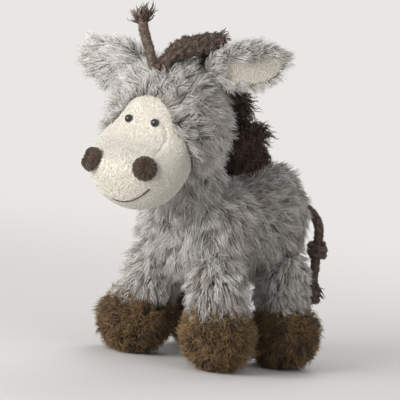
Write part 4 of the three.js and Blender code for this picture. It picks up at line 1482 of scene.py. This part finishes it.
@dataclass
class Ear:
    """An ear: a cupped leaf of plush, lined with terry on its hollow side, in a frame along its length."""

    side: Side
    rise: float
    covered_above: float
    tone: float
    fluff: float
    point: float
    length: float = 68
    width: float = 42
    outline: tuple[float, ...] = (0, 0.72, 0.86, 0.97, 1.0, 0.82, 0)
    thickness: float = 4.5
    hollow_wall: float = 0.5
    cup: float = 7
    root_round: float = 5
    lining_outline: tuple[float, ...] = (0, 0.75, 0.94, 1.0, 0.94, 0.75, 0)
    lining_length: float = 50
    lining_width: float = 30
    lining_start: float = 9
    lining_wall: float = 1.6
    lining_gap: float = 0.6
    lining_hem: float = 1.0
    tip_down: float = 28
    sweep: float = 14
    pile_depth: float = 5.0
    back_facing: float = -0.2
    cover_facing: float = -0.3
    cover_spread: float = 3.0
    tip_start: float = 0.55
    tip_blend: float = 0.3
    base_blend: float = 0.3
    lower_start: float = 8
    lower_blend: float = 8
    lower_trim: float = 0.3
    nap_fan: float = 0.09
    tip_gather: float = 0.14
    loop_facing: float = -0.1
    loop_tone: float = 0.5
    seed: int = 80

    def place(self, head: Placement) -> Placement:
        """The ear's frame: X along the ear to the animal's left, Y to its back and Z across it."""
        root, _ = joint(f"ear_{self.side.word}_flop")
        side = self.side.value
        turn = Euler([math.radians(a) for a in (self.tip_down, -side * self.rise, side * self.sweep)], "XYZ")
        return Placement(root, head.axes @ np.array(turn.to_matrix()))

    def leaf(self, start: float, length: float, outline: Sequence[float], half: float, hollow: float,
             back: float) -> Surface:
        """A cupped leaf.

        Args:
            start: Where it starts along the ear.
            length: Its length.
            outline: Shares of its full width, at even steps from its root to its tip.
            half: Half its full width.
            hollow: Its thickness towards the hollow side.
            back: Its thickness towards the back.

        Returns:
            The closed leaf in the ear's frame.
        """
        shares = (1 - np.cos(np.linspace(0, np.pi, 36))) / 2
        turns = np.linspace(0, 2 * np.pi, 40, endpoint=False)
        t, turn = np.meshgrid(shares, turns, indexing="ij")
        spread = half * np.sqrt(np.maximum(catmull(np.array(outline)[:, None] ** 2, shares), 0))
        wide = spread * np.cos(turn)
        rim = np.sin(turn)
        thick = np.where(rim > 0, back, hollow) * rim * np.sqrt(spread / half)
        bow = -self.cup * (wide / (self.width / 2)) ** 2
        skin = closed_rings(np.stack([self.side.value * (start + t * length), thick + bow, wide], axis=-1))
        if self.side is Side.LEFT:
            skin.faces = [f[:, ::-1] for f in skin.faces]
        return skin

    def build(self, head: Placement) -> list[bpy.types.Object]:
        """Makes the ear's plush leaf with its pile, and the lining with its loops.

        Args:
            head: The head's frame.

        Returns:
            The new pieces.
        """
        body, side = f"ear_{self.side.word}", self.side.value
        seed = self.seed + 5 * side
        place = self.place(head)
        inset = self.pile_depth
        leaf = self.leaf(inset - self.root_round, self.length - 2 * inset, self.outline,
                         self.width / 2 - inset, self.hollow_wall, self.thickness)
        cloth = leaf.moved(place).piece(f"{body}_cloth", GREY_BACKING, body, "grey_plush")
        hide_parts(f"{body}_back")
        lining_half = self.lining_width / 2
        lining = self.leaf(self.lining_start, self.lining_length, self.lining_outline, lining_half,
                           self.lining_wall, 0.0)
        lining.points = lining.points - np.array([0, self.lining_gap, 0])
        inner = lining.moved(place).piece(f"{body}_inner", EAR_GROUND, body, "ear_terry")
        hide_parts(f"{body}_lining")
        rng = np.random.default_rng(seed)
        roots, normals = leaf.scatter(EAR_LOCKS.spacing, rng)
        reach = (roots[:, 0] * side - self.lining_start) / self.lining_length
        spread = lining_half * np.sqrt(np.maximum(1 - (2 * reach - 1) ** 2, 0))
        kept = (normals[:, 1] > self.back_facing) | (np.abs(roots[:, 2]) > spread - self.lining_hem)
        over, over_normals = lining.scatter(EAR_LOCKS.spacing, rng)
        border = self.covered_above + self.cover_spread * rng.normal(0, 1, len(over))
        front = (over_normals[:, 1] < self.cover_facing) & (over[:, 2] > border)
        roots = np.vstack([roots[kept], over[front]])
        normals = np.vstack([normals[kept], over_normals[front]])
        along = roots[:, 0] * side
        tip = np.clip((along - self.tip_start * self.length) / (self.tip_blend * self.length), 0, 1)
        base = np.clip(1 - along / (self.base_blend * self.length), 0, 1)
        low = np.clip((-self.lower_start - roots[:, 2]) / self.lower_blend, 0, 1)
        reach = 1 + self.fluff * base - self.lower_trim * low * (1 - tip) + self.point * tip
        fan = (self.nap_fan - self.tip_gather * tip) * roots[:, 2]
        naps = np.stack([np.full_like(fan, side), np.zeros_like(fan), fan], axis=1)
        pile = grow_pieces(f"{body}_pile", EAR_LOCKS, GREY_PILE, body, "grey_plush", place.point(roots),
                           place.direction(normals), place.direction(naps), seed + 1, self.tone, reach)
        roots, normals = lining.scatter(TERRY_LOOPS.spacing, rng)
        kept = normals[:, 1] < self.loop_facing
        roots, normals = roots[kept], normals[kept]
        naps = np.tile([side, 0.0, 0.0], (len(roots), 1))
        loops = grow_pieces(f"{body}_loops", TERRY_LOOPS, EAR_LOOPS, body, "ear_terry", place.point(roots),
                            place.direction(normals), place.direction(naps), seed + 2, self.loop_tone)
        return [cloth, *pile, inner, *loops]


def lumps(shares: Array, turns: Array, waves: Sequence[tuple[int, int]], rng: np.random.Generator) -> Array:
    """Smooth waves along and round a tube.

    Args:
        shares: The way along the tube, one row for each ring.
        turns: The angles round the tube, in one row.
        waves: How often each wave repeats along the tube and round it.
        rng: The seeded source of chance, from which each wave has its start.

    Returns:
        The sum of the waves for each ring and angle.
    """
    return sum(np.sin(2 * np.pi * (f * shares + rng.random()) + k * turns) for f, k in waves)


@dataclass
class Mane:
    """Bushy tufts of dark yarn down the back of the head and the neck, each on a felted core."""

    core_share: float = 0.92
    core_start: float = 0.02
    core_length: float = 0.9
    core_sides: int = 20
    core_rings: int = 14
    swell_start: float = 0.12
    swell_length: float = 0.82
    swell_power: float = 0.6
    lump_size: float = 0.16
    lump_waves: tuple[tuple[int, int], ...] = ((2, 1), (3, 3))
    yarn_along: float = 0.5
    yarn_tone: float = 0.4
    tufts: tuple[tuple[str, str, float], ...] = (("crown_1", "head", 1.35), ("crown_2", "head", 1.5),
                                                 ("neck_1", "body", 1.2), ("neck_2", "body", 0.8))
    seed: int = 100

    @staticmethod
    def spindle(node: str, from_point: Array) -> tuple[Array, Array, float]:
        """The root, the tip and the half width of a tuft's CAD solid.

        Args:
            node: The tuft's node.
            from_point: A point on the side of its root.

        Returns:
            Root, tip and half width in millimetres.
        """
        points = np.array([v.co for v in frame["nodes"][node].data.vertices], float) / MM
        middle = points.mean(axis=0)
        axis = np.linalg.svd(points - middle)[2][0]
        if axis @ (middle - from_point) < 0:
            axis = -axis
        along = (points - middle) @ axis
        wide = np.linalg.norm(points - middle - along[:, None] * axis, axis=1).max()
        return middle + along.min() * axis, middle + along.max() * axis, float(wide)

    def build(self, head: Placement) -> list[bpy.types.Object]:
        """Makes each tuft's core and its yarn.

        Args:
            head: The head's frame.

        Returns:
            The new pieces.
        """
        made = []
        neck, _ = joint("head_nod")
        for i, (word, body, stretch) in enumerate(self.tufts):
            node = f"mane_tuft_{word}"
            root, tip, wide = self.spindle(node, head.origin if body == "head" else neck)
            shares = np.linspace(0, 1, self.core_rings)[:, None]
            path = root + (tip - root) * (self.core_start + self.core_length * shares)
            swell = np.sin(np.pi * np.clip(self.swell_start + self.swell_length * shares, 0, 1))
            radii = wide * self.core_share * swell**self.swell_power
            rng = np.random.default_rng(self.seed + i)
            turns = np.linspace(0, 2 * np.pi, self.core_sides, endpoint=False)[None]
            uneven = self.lump_size * lumps(shares, turns, self.lump_waves, rng)
            core = tube(path, radii * (1 + uneven), self.core_sides)
            made.append(core.piece(f"mane_core_{word}", MANE_CORE, body, "mane_yarn"))
            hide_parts(node)
            roots, normals = core.scatter(YARN_LOCKS.spacing, rng)
            naps = np.tile(self.yarn_along * unit(tip - root) - UP, (len(roots), 1))
            made += grow_pieces(f"mane_yarn_{word}", YARN_LOCKS, MANE_YARN, body, "mane_yarn", roots, normals,
                                naps, self.seed + 10 + i, self.yarn_tone, stretch)
        return made


@dataclass
class FeltedCord:
    """A felted wool cord along a route, with a lumpy skin, loose fibres and a frayed end."""

    name: str
    body: str
    route: Array
    diameter: float
    nodes: tuple[str, ...]
    fray_from: float
    seed: int
    step: float = 0.6
    sides: int = 20
    lump_size: float = 0.05
    lump_waves: tuple[tuple[int, int], ...] = ((5, 1), (9, 2), (14, 3))

    def line(self) -> Array:
        """The cord's middle line, in points one step apart."""
        rough = catmull(self.route, np.linspace(0, 1, 400))
        along = np.concatenate([[0], np.cumsum(np.linalg.norm(np.diff(rough, axis=0), axis=1))])
        at = np.linspace(0, along[-1], int(along[-1] / self.step))
        return np.stack([np.interp(at, along, rough[:, k]) for k in range(3)], axis=1)

    def build(self, lay: str, far_end: str, stiffness: str, knots: Sequence[bpy.types.Object] = (),
              tone: float = 0.5) -> list[bpy.types.Object]:
        """Makes the cord and its fibres.

        Args:
            knots: The pieces that are tied in it; not used.
            tone: The mean tint of its fibres.

        Returns:
            The new pieces.
        """
        path = self.line()
        rng = np.random.default_rng(self.seed)
        along = np.linspace(0, 1, len(path))[:, None]
        turns = np.linspace(0, 2 * np.pi, self.sides, endpoint=False)[None]
        uneven = self.lump_size * lumps(along, turns, self.lump_waves, rng) / 2
        skin = tube(path, self.diameter / 2 * (1 + uneven), self.sides)
        cord = skin.piece(self.name, FELTED_CORD, self.body, "felted_cord")
        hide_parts(*self.nodes)
        roots, normals = skin.scatter(CORD_FUZZ.spacing, rng)
        naps = np.gradient(path, axis=0)[nearest(roots, path)]
        fuzz = grow_pieces(f"{self.name}_fuzz", CORD_FUZZ, FELT_FIBRE, self.body, "felted_cord", roots,
                           normals, naps, self.seed + 1, tone)
        roots, normals = skin.scatter(CORD_FRAY.spacing, rng)
        naps = np.gradient(path, axis=0)[nearest(roots, path)]
        end = nearest(roots, path) > self.fray_from * len(path)
        fray = grow_pieces(f"{self.name}_fray", CORD_FRAY, FELT_FIBRE, self.body, "felted_cord", roots[end],
                           normals[end], naps[end], self.seed + 2, tone)
        return [cord, *fuzz, *fray]


@dataclass
class Forelock:
    """Three felted cords sewn to the forehead, by the place of each root and the route from there."""

    diameter: float = 7
    front: float = 42
    seam_gap: float = 0.35
    roots: tuple[tuple[str, float, float], ...] = (("upright", -5, 19), ("lying", 3, 23), ("short", 1, 35))
    routes: tuple[tuple[tuple[float, float, float], ...], ...] = (
        ((0, 0, 0), (-1, -5, 8), (-5, -6, 18), (-10, -5, 27), (-15, -3, 39)),
        ((0, 0, 0), (1, -3, 6), (6, 0, 12), (13, 6, 17), (21, 13, 21), (31, 21, 24)),
        ((0, 0, 0), (0, -1, 8), (4, 5, 14), (10, 12, 15), (16, 18, 11), (20, 22, 4)),
    )
    frays: tuple[float, ...] = (0.86, 0.9, 0.9)
    felt_radii: tuple[tuple[float, ...], ...] = ((3.6, 4.2, 5.2, 6.2, 7.0, 6.8),
                                                 (3.0, 4.0, 4.3, 4.8, 6.8, 7.4))
    felt_start: float = 0.08
    felt_sides: int = 20
    felt_voxel: float = 1.3
    felt_smoothing: int = 3
    felt_folds: float = 0.45
    felt_waves: tuple[tuple[float, float, float], ...] = ((0.9, 0.5, 0.3), (-0.4, 1.1, 0.6),
                                                          (0.3, -0.7, 1.3), (1.5, 0.2, -1.1))
    felt_tone: float = 0.45
    bridge: float = 4.2
    bridge_share: float = 0.13
    seed: int = 130

    def felt(self, routes: Sequence[Array]) -> Surface:
        """The ragged felt round the lying and the short cord, which also joins the roots of the seen two.

        Args:
            routes: The routes of the three cords in the part's frame.

        Returns:
            One lumpy closed skin.
        """
        feet = [catmull(route, np.array([self.bridge_share]))[0] for route in routes[:2]]
        parts = [tube(np.linspace(*feet, 14), np.full(14, self.bridge), self.felt_sides)]
        for route, radii in zip(routes[1:], self.felt_radii):
            shares = np.linspace(self.felt_start, 1, 40)
            wide = np.interp(shares, np.linspace(0, 1, len(radii)), radii)
            parts.append(tube(catmull(route, shares), wide, self.felt_sides))
        skin = merged(parts, self.felt_voxel, self.felt_smoothing)
        folds = sum(np.sin(skin.points @ np.array(wave)) for wave in self.felt_waves)
        skin.points = skin.points + skin.normals() * (self.felt_folds * folds)[:, None]
        return skin

    def build(self, head: Placement, halves: Array) -> list[bpy.types.Object]:
        """Makes the three cords and the felt that joins them.

        Args:
            head: The head's frame.
            halves: The half sizes of the head ball.

        Returns:
            The new pieces.
        """
        made, routes = [], []
        for i, ((word, aside, back), route) in enumerate(zip(self.roots, self.routes)):
            level = np.array([aside, back - self.front]) / halves[:2]
            point = np.array([aside, back - self.front, halves[2] * math.sqrt(1 - level @ level)])
            point = point + unit(point / halves**2) * self.seam_gap
            routes.append(head.point(np.array(route, float) + point))
            cord = FeltedCord(f"forelock_cord_{word}", "head", routes[-1], self.diameter,
                              (f"forelock_{word}",), self.frays[i], self.seed + 5 * i)
            made += cord.build("loose", "bare", "stiff", tone=0.5)
        felt = self.felt(routes)
        made.append(felt.piece("forelock_felt", FELTED_CORD, "head", "felted_cord"))
        roots, normals = felt.scatter(FELT_FUZZ.spacing, np.random.default_rng(self.seed + 20))
        naps = np.tile(routes[1][-1] - routes[1][0], (len(roots), 1))
        return made + grow_pieces("forelock_felt_fuzz", FELT_FUZZ, FELT_FIBRE, "head", "felted_cord", roots,
                                  normals, naps, self.seed + 21, self.felt_tone)


@dataclass
class Tail:
    """A hanging felted cord with a knot half way and one at its end."""

    diameter: float = 7
    gap: float = 0.35
    knot_height: float = 16
    lower_length: float = 18
    end_height: float = 18
    wrap_swell: float = 0.6
    wrap_radius: float = 2.9
    wrap_turns: float = 2.6
    wrap_steps: int = 40
    wrap_tuck: float = 9
    wrap_least: float = 0.25
    wrap_level: float = 0.9
    fray_from: float = 0.88
    tone: float = 0.3
    seed: int = 160
    route: tuple[tuple[float, float, float], ...] = (
        (0, 0, 0), (0, 6, 0), (5, 13, -2), (12, 18, -8), (16, 20, -17), (17, 20, -26))

    def wraps(self, middle: Array, radius: float, height: float) -> Surface:
        """A barrel knot: a cord wound round itself, tucked in at both ends.

        Args:
            middle: The middle of the knot.
            radius: Its outer radius.
            height: Its height.

        Returns:
            The wound cord.
        """
        cord, turns = self.wrap_radius, self.wrap_turns
        share = np.linspace(0, 1, int(self.wrap_steps * turns))
        angle = 2 * np.pi * turns * share
        tuck = np.clip(np.minimum(share, 1 - share) * self.wrap_tuck, self.wrap_least, 1) ** 0.5
        reach = (radius - cord) * tuck
        level = (height / 2 - cord * self.wrap_level) * (1 - 2 * share)
        path = middle + np.stack([reach * np.cos(angle), reach * np.sin(angle), level], axis=1)
        return tube(path, np.full(len(path), cord), sides=12)

    def build(self) -> list[bpy.types.Object]:
        """Makes the cord with its knots."""
        root, _ = joint("tail_swing")
        route = [root + np.array(p, float) for p in self.route]
        for drop in (self.knot_height / 2, self.knot_height / 2, self.lower_length / 2, self.lower_length / 2,
                     self.end_height / 2):
            route.append(route[-1] - UP * (drop + self.gap / 2))
        made, knots = [], []
        for i, node in enumerate(("tail_knot", "tail_end_knot")):
            middle, half = node_box(node)
            wound = self.wraps(middle, half[0] + self.wrap_swell, 2 * half[2])
            knots.append(wound.piece(f"{node}_wraps", FELTED_CORD, "tail", "felted_cord"))
            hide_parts(node)
            roots, normals = wound.scatter(CORD_FUZZ.spacing, np.random.default_rng(self.seed + 10 + i))
            made += grow_pieces(f"{node}_fuzz", CORD_FUZZ, FELT_FIBRE, "tail", "felted_cord", roots, normals,
                                np.tile(-UP, (len(roots), 1)), self.seed + 15 + i, self.tone)
        cord = FeltedCord("tail_cord", "tail", np.array(route), self.diameter,
                          ("tail_cord_upper", "tail_cord_lower"), self.fray_from, self.seed)
        return made + knots + cord.build("hanging", "knot", "limp", knots, self.tone)


@dataclass
class Insides:
    """What the covers hold: the CAD pieces stay as they are and get their finishes."""

    finishes: tuple[tuple[str, Finish], ...] = (
        ("_filling", FIBRE_FILL), ("squeaker_bladder", CLEAR_PLASTIC), ("squeaker_reed", CLEAR_PLASTIC),
        ("squeaker_plug", WHITE_PLASTIC), ("eye_washer", WHITE_PLASTIC))

    def build(self) -> list[bpy.types.Object]:
        """Dresses the inner nodes."""
        dressed = []
        for name, node in frame["nodes"].items():
            finish = next((f for word, f in self.finishes if word in name), None)
            if finish is not None:
                node.data.materials.clear()
                node.data.materials.append(finish.material())
                dressed.append(node)
        return dressed


def main() -> None:
    """Builds the studio and the toy, and reports each piece."""
    logging.basicConfig(level=logging.INFO, format="%(message)s")
    hips = {corner: joint(f"leg_{corner.value}_swing")[0] for corner in Corner}
    shoulders = (hips[Corner.FRONT_LEFT] + hips[Corner.FRONT_RIGHT]) / 2
    stance = shoulders + np.array([0, SHOULDER_REACH, -shoulders[2]])
    Studio().build(stance)
    head = Head()
    place, halves = head.place(), np.array(head.halves, float)
    face = Face()
    pieces = Forelock().build(place, halves) + Tail().build()
    trunk = Trunk(Placement(stance))
    legs = [Leg(corner, **(FRONT_PLUSH if corner.is_front else HIND_PLUSH_WITH_PAINTED_LIGHT_AND_SHADE)) for corner in Corner]
    skin, core = (trunk.form(trunk.pile_depth + depth) for depth in (0, trunk.core_depth))
    pieces += trunk.build(skin, [leg.sleeve(leg.core_depth) for leg in legs], place, halves)
    for leg in legs:
        pieces += leg.build(core)
    pieces += head.build(face) + face.build(place, halves)
    # Both ears' plush is painted paler than the head's, a painted light for the light that falls on them.
    for ear in (Ear(Side.LEFT, 17, covered_above=9, tone=0.86, fluff=-0.2, point=-0.2,
                    outline=(0, 0.72, 0.9, 1.0, 0.95, 0.68, 0)),
                Ear(Side.RIGHT, -6, covered_above=-20, tone=0.88, fluff=0.4, point=-0.25)):
        pieces += ear.build(place)
    pieces += Mane().build(place) + Insides().build()


if __name__ == "__main__":
    main()
